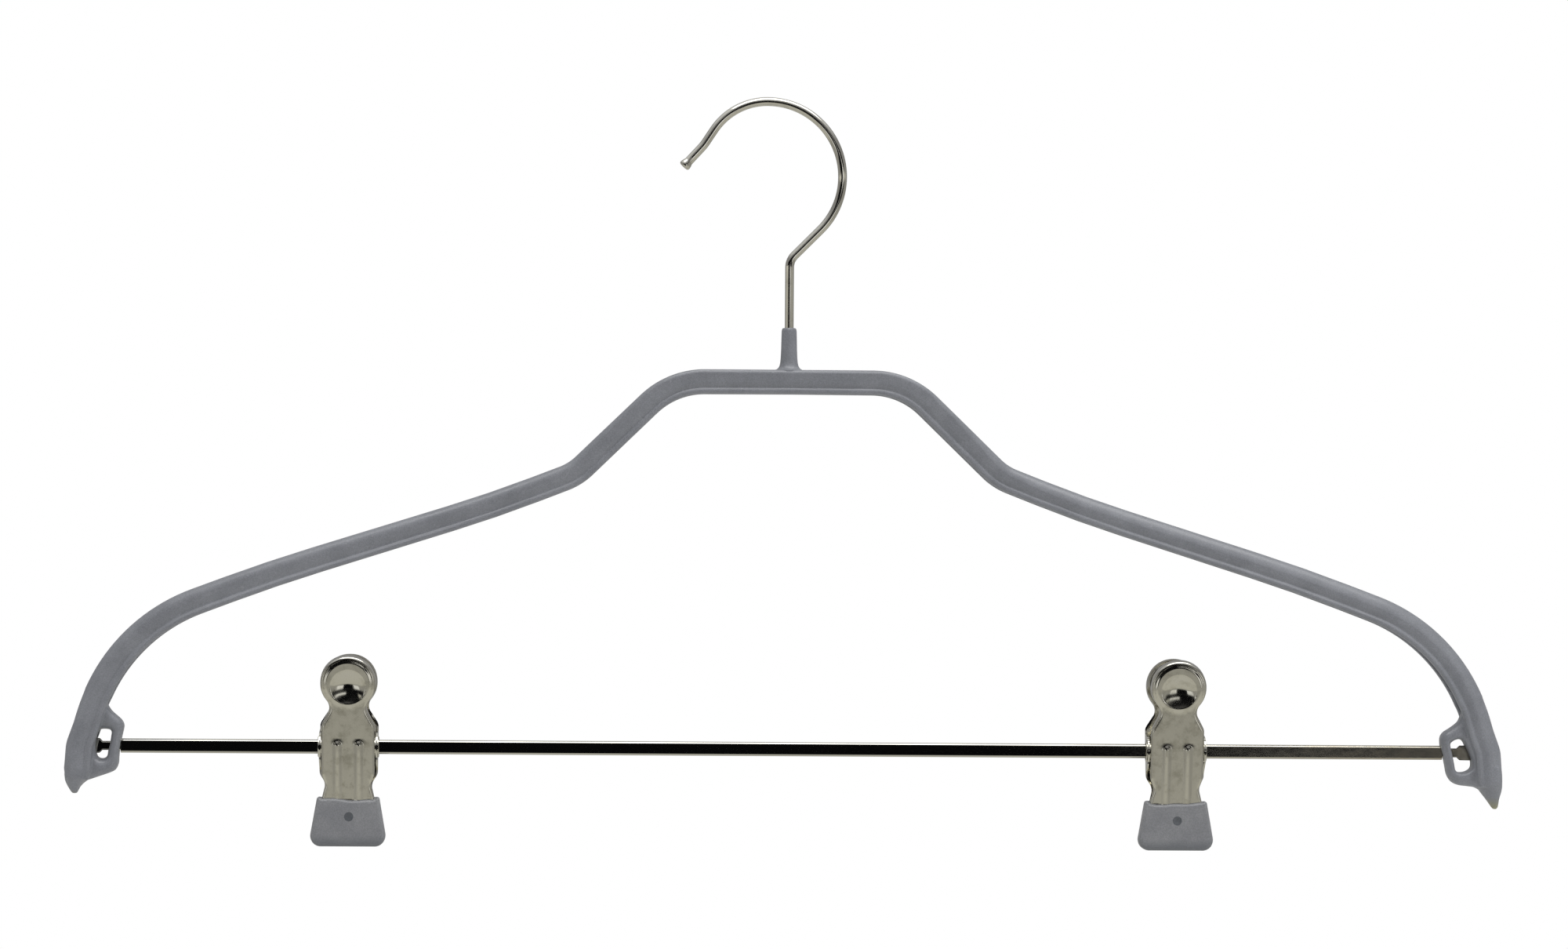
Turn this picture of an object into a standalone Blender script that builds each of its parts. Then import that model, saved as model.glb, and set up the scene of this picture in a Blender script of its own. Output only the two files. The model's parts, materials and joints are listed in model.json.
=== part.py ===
"""A coated metal shoulder hanger with a turning hook and two sprung clips on a flat bar.

Every length is in metres. The hanger's own frame, held by an empty, has its origin where the
swivel axis crosses the clip bar's centre line: +X runs along the bar, -Y faces the front, +Z is
up. The world's origin is the seat under the hook's crown, where a rail carries the hanger.
"""

import math

import bmesh
import bpy
from mathutils import Matrix, Vector
from mathutils.geometry import delaunay_2d_cdt

# Shoulder frame: a rolled steel channel, open underneath, dipped in soft vinyl
HALF_SPAN = 0.2098
CROSSBAR_UP = 0.1105
CROSSBAR_HEIGHT = 0.0070
END_HEIGHT = 0.0078
CHANNEL_DEPTH = 0.0100
ROOF_RADIUS = 0.0034
TOE_DROP = 0.0088
STEEL_WALL = 0.0008
COAT = 0.0005
COAT_GAP = 0.00015
LIP_BEAD = 0.00025
LIP_BEAD_RISE = 0.0017
DRIP_LENGTH = 0.0062
ROOF_STEP = math.radians(9.0)

# Roof line from the middle along the arm: across as a share of HALF_SPAN, up as a share of
# CROSSBAR_UP, bend radius as a share of HALF_SPAN
ARM_LINE_SHARES = (
    (0.1687, 1.0000, 0.129),
    (0.3054, 0.7496, 0.067),
    (0.4157, 0.6688, 1.900),
    (0.7207, 0.4869, 2.400),
)

# Roof line round the arm's end to the toe: inwards, up and bend radius as shares of ARM_END_UP
ARM_END_UP = 0.0361
ARM_END_SHARES = (
    (0.3155, 1.0000, 1.493),
    (0.0802, 0.1910, 0.116),
    (0.0198, 0.0220, 0.302),
)

# Drip at each toe: down as a share of DRIP_LENGTH, then the outer edge, the inner edge and the
# half depth as shares of END_HEIGHT, the edges measured inwards from the roof line's end
DRIP_SHARES = (
    (-0.24, 0.06, 0.93, 0.56),
    (0.10, 0.00, 0.92, 0.58),
    (0.36, 0.03, 0.80, 0.47),
    (0.62, 0.10, 0.64, 0.31),
    (0.86, 0.17, 0.50, 0.17),
    (1.00, 0.26, 0.38, 0.05),
)
DRIP_SIDES = 12

# End brackets: a bent steel strip between the channel's walls, carrying the clip bar
STRIP_WALL = 0.0010
BRACKET_REACH = 0.0169
STRIP_STEP = math.radians(22.0)

# Line of the strip: inwards from the toe, up and bend radius as shares of BRACKET_REACH
STRIP_ROOT_SHARE = 0.976
STRIP_CORNER_SHARES = (
    (1.0000, 0.2485, 0.142),
    (0.9172, -0.3964, 0.142),
    (0.3905, -0.5325, 0.142),
)

# Web of vinyl round each strip: inwards, up and bend radius as shares of BRACKET_REACH
WEB_STEP = math.radians(24.0)
WEB_ROOT_SHARES = (0.605, 1.0946)
WEB_CORNER_SHARES = (
    (1.0710, 0.2892, 0.134),
    (0.9767, -0.4498, 0.155),
    (0.4016, -0.6158, 0.177),
)
WEB_TOE_SHARES = (0.1542, -0.5676)

# Rounded window in the web: inwards, top, bottom and bend radius as shares of BRACKET_REACH
WINDOW_SHARES = (0.8757, 0.3254, 0.2959, 0.130)

# Hook: a plated wire that turns in a sleeve riveted to the channel
WIRE_RADIUS = 0.0013
SHANK_SHOWN = 0.0198
HOOK_LOOP = 0.0463
HOOK_TIP_FLARE = 0.0004
HOOK_TIP_LENGTH = 0.0024
HOOK_HEAD_RADIUS = 0.0022
HOOK_HEAD_HEIGHT = 0.0010
HOOK_HEAD_GAP = 0.0003
CROWN_ACROSS_SHARE = -0.143
HOOK_STEP = math.radians(10.0)
HOOK_SIDES = 12

# Hook line above the shank's bend: across, up and bend radius as shares of HOOK_LOOP
HOOK_LINE_SHARES = (
    (0.0000, 0.0000, 0.108),
    (0.3305, 0.3311, 0.472),
    (0.3305, 1.0000, 0.472),
    (-0.3629, 1.0000, 0.405),
    (-0.5464, 0.7214, 0.260),
    (-0.6739, 0.5832, 0.0),
)

# Sleeve that carries the hook, and the coated stub round it
SHANK_GAP = 0.00015
SLEEVE_WALL = 0.00035
SLEEVE_GAP = 0.0001
STUB_TOP_RADIUS = 0.00215
STUB_BASE_RADIUS = 0.00245
STUB_HEIGHT = 0.0123
STUB_FILLET = 0.0015
STUB_ROOT = 0.0011
STUB_SIDES = 16

# Clip bar: flat with bevelled edges, necked and headed at both ends
BAR_HEIGHT = 0.0041
BAR_DEPTH = 0.0024
BAR_BEVEL = 0.0005
NECK_HEIGHT = 0.0026
NECK_DEPTH = 0.0018
NECK_LENGTH = 0.0057
HEAD_HEIGHT = 0.0044
HEAD_DEPTH = 0.0016
HEAD_LENGTH = 0.0046
HEAD_TAPER = 0.0006
BAR_GAP = 0.0003

# Clips: two stamped plates on a flared tube, opened against a torsion spring
LEFT_CLIP_X = -0.1274
RIGHT_CLIP_X = 0.1139
SHEET = 0.0005
PLATE_TILT = math.radians(12.5)
PLATE_REACH = 0.0046
PLATE_HEAD_UP = 0.0200
PLATE_HEAD_RADIUS = 0.0080
HEAD_CHEEK_SHARE = 0.344
HEAD_ROUND_SHARE = 0.98
DISH_RADIUS = 0.0066
DISH_DEPTH = 0.0016
NECK_IN = 0.0048
NECK_UP = 0.0131
NECK_BEND = 0.0034
PLATE_SHOULDER_UP = 0.0084
WAIST_HALF = 0.0069
WAIST_DROP = 0.0086
WAIST_BEND = 0.0022
RIB_APART = 0.0062
RIB_WIDTH = 0.0030
RIB_HEIGHT = 0.0007
RIB_TOP_UP = 0.0029
RIB_FADE = 0.0022
PLATE_STEP = math.radians(18.0)
DISH_SIDES = 14
DISH_RING_SHARES = (1.0, 0.90, 0.72, 0.46, 0.20)
RIB_RING_SHARES = (1.0, 0.55)

# Ears folded back from the plates, round the tube
EAR_OUT = 0.0077
EAR_BEND = 0.00075
EAR_RADIUS = 0.0043
EAR_ROOT_UP = 0.0067
EAR_HOLE_GAP = 0.00035
EAR_SIDE_GAP = 0.0003
EAR_HOLE_SIDES = 12

# Flared tube that the clip turns on, with the bar through it
TUBE_BORE_RADIUS = 0.0024
TUBE_WALL = 0.00035
TUBE_FLARE = 0.00075
TUBE_FLARE_LENGTH = 0.00035
TUBE_SIDES = 16

# Torsion spring round the tube, one leg behind each plate
SPRING_WIRE = 0.0010
SPRING_RADIUS = 0.0037
SPRING_PITCH = 0.0015
SPRING_TURNS = 6
SPRING_POINTS = 10
SPRING_LEG = 0.0135
SPRING_LEAST_GAP = 0.0004

# Grips: vinyl dipped over each plate's lower end
GRIP_TOP_HALF = 0.00895
GRIP_TOP_DROP = 0.0146
GRIP_WIDE_HALF = 0.01085
GRIP_WIDE_DROP = 0.0256
GRIP_FOOT_HALF = 0.0100
GRIP_BOTTOM_DROP = 0.0289
GRIP_TOP_BEND = 0.0008
GRIP_WIDE_BEND = 0.0026
GRIP_FOOT_BEND = 0.0020
GRIP_THICKNESS = 0.00275
GRIP_INNER_COAT = 0.0009
GRIP_EDGE_COAT = 0.0010
GRIP_HALF_GAP = 0.00015
GRIP_ROUND = 0.0006
GRIP_ROUND_STEPS = 2
GRIP_ROUND_SHARE = 0.5

OVERRUN = 0.0010
HALF_SHARE = 0.5
MERGE_SHARE = 0.001
TURN = 2.0 * math.pi


def srgb(red, green, blue):
    """Linear colour, with alpha, of an sRGB colour given in 0 to 255."""
    values = []
    for channel in (red, green, blue):
        value = channel / 255.0
        values.append(value / 12.92 if value <= 0.04045 else ((value + 0.055) / 1.055) ** 2.4)
    return (*values, 1.0)


def make_material(name, colour, metallic, roughness):
    material = bpy.data.materials.new(name)
    material.use_nodes = True
    shader = material.node_tree.nodes["Principled BSDF"]
    shader.inputs["Base Color"].default_value = colour
    shader.inputs["Metallic"].default_value = metallic
    shader.inputs["Roughness"].default_value = roughness
    return material


def clear_scene():
    for obj in list(bpy.data.objects):
        bpy.data.objects.remove(obj, do_unlink=True)


def add_empty(name, parent, place):
    empty = bpy.data.objects.new(name, None)
    bpy.context.scene.collection.objects.link(empty)
    empty.parent = parent
    empty.location = place
    return empty


def add_object(name, mesh, parent, material=None):
    obj = bpy.data.objects.new(name, mesh)
    bpy.context.scene.collection.objects.link(obj)
    obj.parent = parent
    if material:
        mesh.materials.append(material)
    return obj


def add_cutter(name, mesh, parent):
    """A helper solid that joins or cuts another, and isn't a piece itself."""
    cutter = add_object(name, mesh, parent)
    cutter.hide_render = True
    cutter.display_type = "WIRE"
    return cutter


def combine(target, cutter, operation):
    modifier = target.modifiers.new(cutter.name, "BOOLEAN")
    modifier.operation = operation
    modifier.solver = "EXACT"
    modifier.object = cutter


def finish_mesh(name, shape, smooth=True):
    """Turn a closed bmesh into a mesh with outward faces."""
    bmesh.ops.recalc_face_normals(shape, faces=shape.faces)
    mesh = bpy.data.meshes.new(name)
    shape.to_mesh(mesh)
    shape.free()
    if smooth:
        mesh.shade_smooth()
        mesh.set_sharp_from_angle(angle=math.radians(35.0))
    return mesh


def skin_rings(name, rings):
    """A closed solid through rings of points, capped at both ends."""
    shape = bmesh.new()
    loops = [[shape.verts.new(point) for point in ring] for ring in rings]
    for near, far in zip(loops, loops[1:]):
        for i in range(len(near)):
            j = (i + 1) % len(near)
            shape.faces.new((near[i], near[j], far[j], far[i]))
    shape.faces.new(loops[0])
    shape.faces.new(loops[-1])
    return finish_mesh(name, shape)


def turned(name, profile, sides, along_x=False):
    """A solid of revolution about Z, or about X, from a closed profile of (radius, height)."""
    shape = bmesh.new()
    loops = []
    for i in range(sides):
        angle = TURN * i / sides
        loop = []
        for radius, height in profile:
            point = (radius * math.cos(angle), radius * math.sin(angle), height)
            if along_x:
                point = (point[2], point[0], point[1])
            loop.append(shape.verts.new(point))
        loops.append(loop)
    for i in range(sides):
        near, far = loops[i], loops[(i + 1) % sides]
        for j in range(len(profile)):
            k = (j + 1) % len(profile)
            shape.faces.new((near[j], near[k], far[k], far[j]))
    return finish_mesh(name, shape)


def box_mesh(name, low, high):
    shape = bmesh.new()
    bmesh.ops.create_cube(shape, size=1)
    size = Vector(high) - Vector(low)
    middle = (Vector(high) + Vector(low)) / 2
    bmesh.ops.scale(shape, vec=size, verts=shape.verts)
    bmesh.ops.translate(shape, vec=middle, verts=shape.verts)
    return finish_mesh(name, shape, smooth=False)


def mirrored_x(mesh, name):
    shape = bmesh.new()
    shape.from_mesh(mesh)
    bmesh.ops.scale(shape, vec=(-1, 1, 1), verts=shape.verts)
    return finish_mesh(name, shape)


def bend_turn(places, i):
    """How far a line of places turns at one of them."""
    return math.pi - (places[i - 1] - places[i]).angle(places[i + 1] - places[i])


def fitted_radii(places, radii):
    """Bend radii, each no larger than the straights beside it have room for."""
    reaches = [0.0]
    for i, radius in enumerate(radii, 1):
        reaches.append(radius * math.tan(bend_turn(places, i) / 2))
    reaches.append(0.0)
    rooms = []
    for i in range(len(places) - 1):
        wanted = reaches[i] + reaches[i + 1]
        length = (places[i + 1] - places[i]).length
        rooms.append(min(1.0, length / wanted) if wanted else 1.0)
    return [radius * min(rooms[i], rooms[i + 1]) for i, radius in enumerate(radii)]


def bent_line(start, corners, end, step):
    """A line of straights joined by arcs. Each corner is (across, up, bend radius).

    Where one arc runs straight into the next, they share a point.
    """
    points = [Vector(start)]
    places = [Vector(start)] + [Vector(corner[:2]) for corner in corners] + [Vector(end)]
    radii = fitted_radii(places, [corner[2] for corner in corners])
    for i, radius in enumerate(radii, 1):
        corner = places[i]
        back = (places[i - 1] - corner).normalized()
        ahead = (places[i + 1] - corner).normalized()
        turn = bend_turn(places, i)
        reach = radius * math.tan(turn / 2)
        centre = corner + (back + ahead).normalized() * (radius / math.cos(turn / 2))
        first = corner + back * reach - centre
        last = corner + ahead * reach - centre
        spin = math.copysign(turn, first.x * last.y - first.y * last.x)
        count = max(1, math.ceil(turn / step))
        for k in range(count + 1):
            angle = spin * k / count
            place = centre + Matrix.Rotation(angle, 2) @ first
            if (place - points[-1]).length > MERGE_SHARE * reach:
                points.append(place)
    points.append(Vector(end))
    return points


def line_normals(points):
    """At each point the mitred normal to the left of the way, scaled to keep widths true."""
    normals = []
    for i, point in enumerate(points):
        before = (point - points[i - 1]).normalized() if i else None
        after = (points[i + 1] - point).normalized() if i + 1 < len(points) else None
        before = before or after
        after = after or before
        sides = [Vector((-way.y, way.x)) for way in (before, after)]
        middle = (sides[0] + sides[1]).normalized()
        normals.append(middle / middle.dot(sides[0]))
    return normals


def sweep(name, points, sections):
    """Carry a closed (depth, out) section along a line in the XZ plane."""
    rings = []
    for point, normal, section in zip(points, line_normals(points), sections):
        ring = []
        for depth, out in section:
            place = point + normal * out
            ring.append((place.x, depth, place.y))
        rings.append(ring)
    return skin_rings(name, rings)


def arc_points(centre, radius, first, last, count):
    points = []
    for i in range(count + 1):
        angle = first + (last - first) * i / count
        points.append((centre[0] + radius * math.cos(angle), centre[1] + radius * math.sin(angle)))
    return points


# Shoulder frame


def from_toe(shares, size):
    """Corners given inwards from the toe, up from the bar and with a radius, as shares."""
    return [(HALF_SPAN - inwards * size, up * size, bend * size) for inwards, up, bend in shares]


def roof_line(extra=0.0):
    """The whole roof line from the left toe to the right toe, each toe longer by extra."""
    corners = []
    for across, up, radius in ARM_LINE_SHARES:
        corners.append((across * HALF_SPAN, up * CROSSBAR_UP, radius * HALF_SPAN))
    corners += from_toe(ARM_END_SHARES, ARM_END_UP)
    toe = (HALF_SPAN, -TOE_DROP - extra)
    half = bent_line((0.0, CROSSBAR_UP), corners, toe, ROOF_STEP)
    left = [Vector((-point.x, point.y)) for point in reversed(half[1:])]
    return left + half


def channel_height(point):
    share = min(1.0, abs(point.x) / HALF_SPAN)
    return CROSSBAR_HEIGHT + (END_HEIGHT - CROSSBAR_HEIGHT) * share


def channel_section(height, outer, inner, lip, bead=0.0):
    """The channel's closed section, its faces inset from the coat's outer face."""
    half = CHANNEL_DEPTH / 2
    pivot = (half - ROOF_RADIUS, -ROOF_RADIUS)
    side = [(0.0, -outer)]
    side += arc_points(pivot, ROOF_RADIUS - outer, math.pi / 2, 0.0, 3)
    if bead:
        bottom = lip - height
        side.append((half, bottom + LIP_BEAD_RISE))
        side.append((half + bead, bottom + LIP_BEAD_RISE / 2))
        side.append((half, bottom))
        side.append((half - inner + bead, bottom))
        side.append((half - inner, bottom + bead))
    else:
        side.append((half - outer, lip - height))
        side.append((half - inner, lip - height))
    side += arc_points(pivot, ROOF_RADIUS - inner, 0.0, math.pi / 2, 2)
    side.append((0.0, -inner))
    other = [(-depth, out) for depth, out in reversed(side[1:-1])]
    return side + other


def channel_mesh(name, outer, inner, lip, extra=0.0, bead=0.0):
    points = roof_line(extra)
    sections = [channel_section(channel_height(p), outer, inner, lip, bead) for p in points]
    return sweep(name, points, sections)


def steel_inset():
    return COAT + COAT_GAP


def wall_inset():
    """From the coat's outer face to its inner face, through the steel."""
    return 2 * steel_inset() + STEEL_WALL


def roof_at(height):
    """Where the right half of the roof line passes a height on its way down."""
    points = [point for point in roof_line() if point.x > HALF_SPAN / 2]
    for above, below in zip(points, points[1:]):
        if below.y <= height <= above.y:
            share = (above.y - height) / (above.y - below.y)
            way = (below - above).normalized()
            return above.lerp(below, share), Vector((way.y, -way.x))
    way = (points[-1] - points[-2]).normalized()
    return points[-1], Vector((way.y, -way.x))


def wall_x(corners, high=0.0):
    """Where the upright wall between the first two corners passes a height over the bar."""
    (top_x, top, _), (bottom_x, bottom, _) = corners[:2]
    return top_x + (bottom_x - top_x) * (top - high) / (top - bottom)


def strip_corners():
    return from_toe(STRIP_CORNER_SHARES, BRACKET_REACH)


def web_corners():
    return from_toe(WEB_CORNER_SHARES, BRACKET_REACH)


def bracket_mesh(name, grow):
    """The bracket's strip, thicker and wider by grow on every side."""
    seat = ROOF_RADIUS + STRIP_WALL / 2
    root, inwards = roof_at(STRIP_ROOT_SHARE * BRACKET_REACH)
    heel, heel_inwards = roof_at(-TOE_DROP)
    start = root + inwards * seat
    end = heel + heel_inwards * seat
    points = bent_line(start, strip_corners(), end, STRIP_STEP)
    points[0] = points[0] + (points[0] - points[1]).normalized() * grow
    points[-1] = points[-1] + (points[-1] - points[-2]).normalized() * grow
    half = CHANNEL_DEPTH / 2 - steel_inset() - STEEL_WALL - COAT_GAP + grow
    out = STRIP_WALL / 2 + grow
    section = [(-half, -out), (half, -out), (half, out), (-half, out)]
    return sweep(name, points, [section] * len(points))


def prism(name, outline, half):
    """A solid with the same outline in XZ at every depth."""
    rings = [[(x, depth, z) for x, z in outline] for depth in (-half, half)]
    return skin_rings(name, rings)


def web_mesh(name):
    """The vinyl round the strip, before its window is opened."""
    inwards, up = WEB_ROOT_SHARES
    start = (HALF_SPAN - inwards * BRACKET_REACH, up * BRACKET_REACH)
    inwards, up = WEB_TOE_SHARES
    end = (HALF_SPAN - inwards * BRACKET_REACH, up * BRACKET_REACH)
    half = CHANNEL_DEPTH / 2 - STEEL_WALL - COAT_GAP
    return prism(name, bent_line(start, web_corners(), end, WEB_STEP), half)


def window_mesh(name):
    inwards, top, bottom, bend = (share * BRACKET_REACH for share in WINDOW_SHARES)
    wall = HALF_SPAN - inwards
    corners = ((wall, top, bend), (wall, -bottom, bend))
    line = bent_line((HALF_SPAN, top), corners, (HALF_SPAN, -bottom), WEB_STEP)
    return prism(name, line, CHANNEL_DEPTH)


def slot_mesh(name, grow):
    """The opening in the bracket's wall round the bar's neck, larger by grow all round."""
    half_depth = NECK_DEPTH / 2 + BAR_GAP + grow
    half_height = NECK_HEIGHT / 2 + BAR_GAP + grow
    middle = wall_x(strip_corners())
    reach = STRIP_WALL / 2 + steel_inset() + 2 * OVERRUN
    low = (middle - reach, -half_depth, -half_height)
    high = (middle + reach, half_depth, half_height)
    return box_mesh(name, low, high)


def drip_mesh(name):
    rings = []
    for down, outer, inner, half in DRIP_SHARES:
        high = -TOE_DROP - down * DRIP_LENGTH
        edge = HALF_SPAN - outer * END_HEIGHT
        middle = (edge + HALF_SPAN - inner * END_HEIGHT) / 2
        ring = []
        for i in range(DRIP_SIDES):
            angle = TURN * i / DRIP_SIDES
            across = middle + (edge - middle) * math.cos(angle)
            ring.append((across, half * END_HEIGHT * math.sin(angle), high))
        rings.append(ring)
    return skin_rings(name, rings)


def stacked(name, profile, sides):
    """An upright round solid from its (radius, height) profile, bottom to top."""
    rings = []
    for radius, high in profile:
        ring = []
        for i in range(sides):
            angle = TURN * (i + HALF_SHARE) / sides
            ring.append((radius * math.cos(angle), radius * math.sin(angle), high))
        rings.append(ring)
    return skin_rings(name, rings)


def stub_mesh(name):
    """The dipped stub round the sleeve, flared into the crossbar."""
    base = CROSSBAR_UP
    profile = (
        (STUB_BASE_RADIUS + STUB_FILLET, base - STUB_ROOT),
        (STUB_BASE_RADIUS + STUB_FILLET, base - STUB_FILLET / 6),
        (STUB_BASE_RADIUS + STUB_FILLET / 3, base + STUB_FILLET / 3),
        (STUB_BASE_RADIUS, base + STUB_FILLET),
        (STUB_TOP_RADIUS, base + STUB_HEIGHT - COAT),
        (STUB_TOP_RADIUS - COAT / 2, base + STUB_HEIGHT),
    )
    return stacked(name, profile, STUB_SIDES)


def stub_room_mesh(name):
    """Room inside the coat for the sleeve, and below it for the hook's shank."""
    low = CROSSBAR_UP - steel_inset() - COAT_GAP
    profile = (
        (sleeve_inner() + SLEEVE_GAP, CROSSBAR_UP - wall_inset() - OVERRUN),
        (sleeve_inner() + SLEEVE_GAP, low),
        (sleeve_outer() + SLEEVE_GAP, low),
        (sleeve_outer() + SLEEVE_GAP, CROSSBAR_UP + STUB_HEIGHT + OVERRUN),
    )
    return stacked(name, profile, STUB_SIDES)


def sleeve_inner():
    return WIRE_RADIUS + SHANK_GAP


def sleeve_outer():
    return sleeve_inner() + SLEEVE_WALL


def build_shoulder_channel(frame, material):
    inset = steel_inset()
    channel = add_object(
        "shoulder_channel",
        channel_mesh("shoulder_channel", inset, inset + STEEL_WALL, inset),
        frame,
        material,
    )
    radius = sleeve_inner() + SHANK_GAP
    bottom = CROSSBAR_UP - inset - STEEL_WALL - OVERRUN
    profile = ((radius, bottom), (radius, CROSSBAR_UP - inset + OVERRUN))
    hole = stacked("channel_hook_hole", profile, STUB_SIDES)
    combine(channel, add_cutter("channel_hook_hole", hole, frame), "DIFFERENCE")


def build_end_brackets(frame, material):
    mesh = bracket_mesh("end_bracket", 0.0)
    slot = slot_mesh("bracket_slot", steel_inset())
    for side in ("right", "left"):
        strip = mesh if side == "right" else mirrored_x(mesh, "end_bracket_left")
        cut = slot if side == "right" else mirrored_x(slot, "bracket_slot_left")
        bracket = add_object("end_bracket_" + side, strip, frame, material)
        cutter = add_cutter("bracket_slot_" + side, cut, frame)
        combine(bracket, cutter, "DIFFERENCE")


def build_hook_sleeve(frame, material):
    low = CROSSBAR_UP - steel_inset() + COAT_GAP
    high = CROSSBAR_UP + STUB_HEIGHT - COAT / 2
    profile = [
        (sleeve_inner(), low),
        (sleeve_outer(), low),
        (sleeve_outer(), high),
        (sleeve_inner(), high),
    ]
    add_object("hook_sleeve", turned("hook_sleeve", profile, STUB_SIDES), frame, material)


def both_sides(name, mesh):
    """A mesh and its mirror image across the swivel axis, in one."""
    shape = bmesh.new()
    shape.from_mesh(mesh)
    shape.from_mesh(mirrored_x(mesh, name + "_mirror"))
    return finish_mesh(name, shape)


def build_frame_coating(frame, material):
    """The vinyl skin: everything joined one coat thick, less the steel with its gap."""
    steel = steel_inset()
    room = steel - COAT_GAP
    outer = channel_mesh("frame_coating", 0.0, wall_inset(), 0.0, steel, LIP_BEAD)
    coating = add_object("frame_coating", outer, frame, material)
    webs = add_cutter("coat_webs", both_sides("coat_webs", web_mesh("coat_web")), frame)
    windows = both_sides("web_windows", window_mesh("web_window"))
    combine(webs, add_cutter("web_windows", windows, frame), "DIFFERENCE")
    combine(coating, webs, "UNION")
    for name, mesh in (
        ("coat_stub", stub_mesh("coat_stub")),
        ("coat_drips", both_sides("coat_drips", drip_mesh("coat_drip"))),
    ):
        combine(coating, add_cutter(name, mesh, frame), "UNION")
    strips = both_sides("room_brackets", bracket_mesh("room_bracket", COAT_GAP))
    strip_room = add_cutter("room_brackets", strips, frame)
    lining = both_sides("slot_linings", slot_mesh("slot_lining", COAT))
    combine(strip_room, add_cutter("slot_linings", lining, frame), "DIFFERENCE")
    steel_room = channel_mesh("room_channel", room, wall_inset() - room, room, COAT_GAP)
    slots = both_sides("room_slots", slot_mesh("room_slot", 0.0))
    combine(coating, add_cutter("room_slots", slots, frame), "DIFFERENCE")
    combine(coating, add_cutter("room_channel", steel_room, frame), "DIFFERENCE")
    combine(coating, strip_room, "DIFFERENCE")
    stub_room = stub_room_mesh("room_stub")
    combine(coating, add_cutter("room_stub", stub_room, frame), "DIFFERENCE")


# Hook


def bend_up():
    """Height of the bend above the shank, over the bar."""
    return CROSSBAR_UP + STUB_HEIGHT + SHANK_SHOWN


def hook_points():
    corners = []
    for across, up, radius in HOOK_LINE_SHARES:
        corners.append((across * HOOK_LOOP, bend_up() + up * HOOK_LOOP, radius * HOOK_LOOP))
    end = corners.pop()[:2]
    head_top = CROSSBAR_UP - wall_inset() - HOOK_HEAD_GAP
    return bent_line((0.0, head_top), corners, end, HOOK_STEP)


def build_hook(hook, material):
    """A wire headed under the channel's roof, its free end upset and rounded."""
    points = hook_points()
    tip = points[-1]
    way = (tip - points[-2]).normalized()
    points[-1] = tip - way * HOOK_TIP_LENGTH
    radii = [WIRE_RADIUS] * len(points)
    wide = WIRE_RADIUS + HOOK_TIP_FLARE
    points += [tip - way * WIRE_RADIUS, tip - way * HOOK_TIP_FLARE, tip]
    radii += [wide, wide - HOOK_TIP_FLARE / 2, WIRE_RADIUS / 2]
    normals = line_normals(points)
    foot = points[0]
    points = [foot - Vector((0.0, HOOK_HEAD_HEIGHT)), foot] + points
    radii = [HOOK_HEAD_RADIUS, HOOK_HEAD_RADIUS] + radii
    normals = normals[:1] + normals[:1] + normals
    rings = []
    for point, normal, radius in zip(points, normals, radii):
        ring = []
        for i in range(HOOK_SIDES):
            angle = TURN * i / HOOK_SIDES
            place = point + normal * radius * math.cos(angle)
            ring.append((place.x, radius * math.sin(angle), place.y))
        rings.append(ring)
    add_object("hook", skin_rings("hook", rings), hook, material)


# Clip bar


def bar_section(height, depth, bevel):
    half, deep = height / 2, depth / 2
    return [
        (-deep, -half + bevel),
        (-deep + bevel, -half),
        (deep - bevel, -half),
        (deep, -half + bevel),
        (deep, half - bevel),
        (deep - bevel, half),
        (-deep + bevel, half),
        (-deep, half - bevel),
    ]


def build_clip_bar(frame, material):
    shoulder = wall_x(web_corners(), BAR_HEIGHT / 2) - BAR_GAP
    neck_end = shoulder + NECK_LENGTH
    head = neck_end + HEAD_LENGTH
    thin = BAR_BEVEL / 2
    stations = (
        (shoulder - HEAD_TAPER, BAR_HEIGHT, BAR_DEPTH, BAR_BEVEL),
        (shoulder, NECK_HEIGHT, NECK_DEPTH, thin),
        (neck_end, NECK_HEIGHT, NECK_DEPTH, thin),
        (neck_end + HEAD_TAPER, HEAD_HEIGHT, HEAD_DEPTH, thin),
        (head, HEAD_HEIGHT, HEAD_DEPTH, thin),
    )
    rings = []
    for x, height, depth, bevel in stations:
        rings.append([(x, y, z) for y, z in bar_section(height, depth, bevel)])
    other = [[(-x, y, z) for x, y, z in ring] for ring in reversed(rings)]
    add_object("clip_bar", skin_rings("clip_bar", other + rings), frame, material)


# Clip plates


def plate_middle():
    """From the clip's axis to the middle of the plate's sheet."""
    return PLATE_REACH + SHEET / 2


def grip_middle():
    """From the jaw's parting plane to the middle of the sheet inside the grip."""
    return GRIP_HALF_GAP + GRIP_INNER_COAT + COAT_GAP + SHEET / 2


def lower_bend():
    """Where along the plate it turns upright into the grip, and how high that is."""
    along = (grip_middle() - plate_middle() * math.cos(PLATE_TILT)) / math.sin(PLATE_TILT)
    high = along * math.cos(PLATE_TILT) - plate_middle() * math.sin(PLATE_TILT)
    return along, high


def ear_out(front):
    return EAR_OUT if front else EAR_OUT + EAR_SIDE_GAP + SHEET


def fold_start(front):
    return ear_out(front) - SHEET / 2 - EAR_BEND


def fold_lines(front):
    """Where the ear's bend starts, is half done and ends, across the flat pattern."""
    arc = EAR_BEND * math.pi / 2
    start = fold_start(front)
    return start, start + arc / 2, start + arc


def ear_centre(front):
    """Across the flat pattern, the distance that folds onto the clip's axis."""
    return fold_start(front) + EAR_BEND * math.pi / 2 + plate_middle() - EAR_BEND


def on_plate(drop):
    """Along the flat pattern, the place that ends at this drop below the bar."""
    along, high = lower_bend()
    return along - (drop + high)


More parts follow.
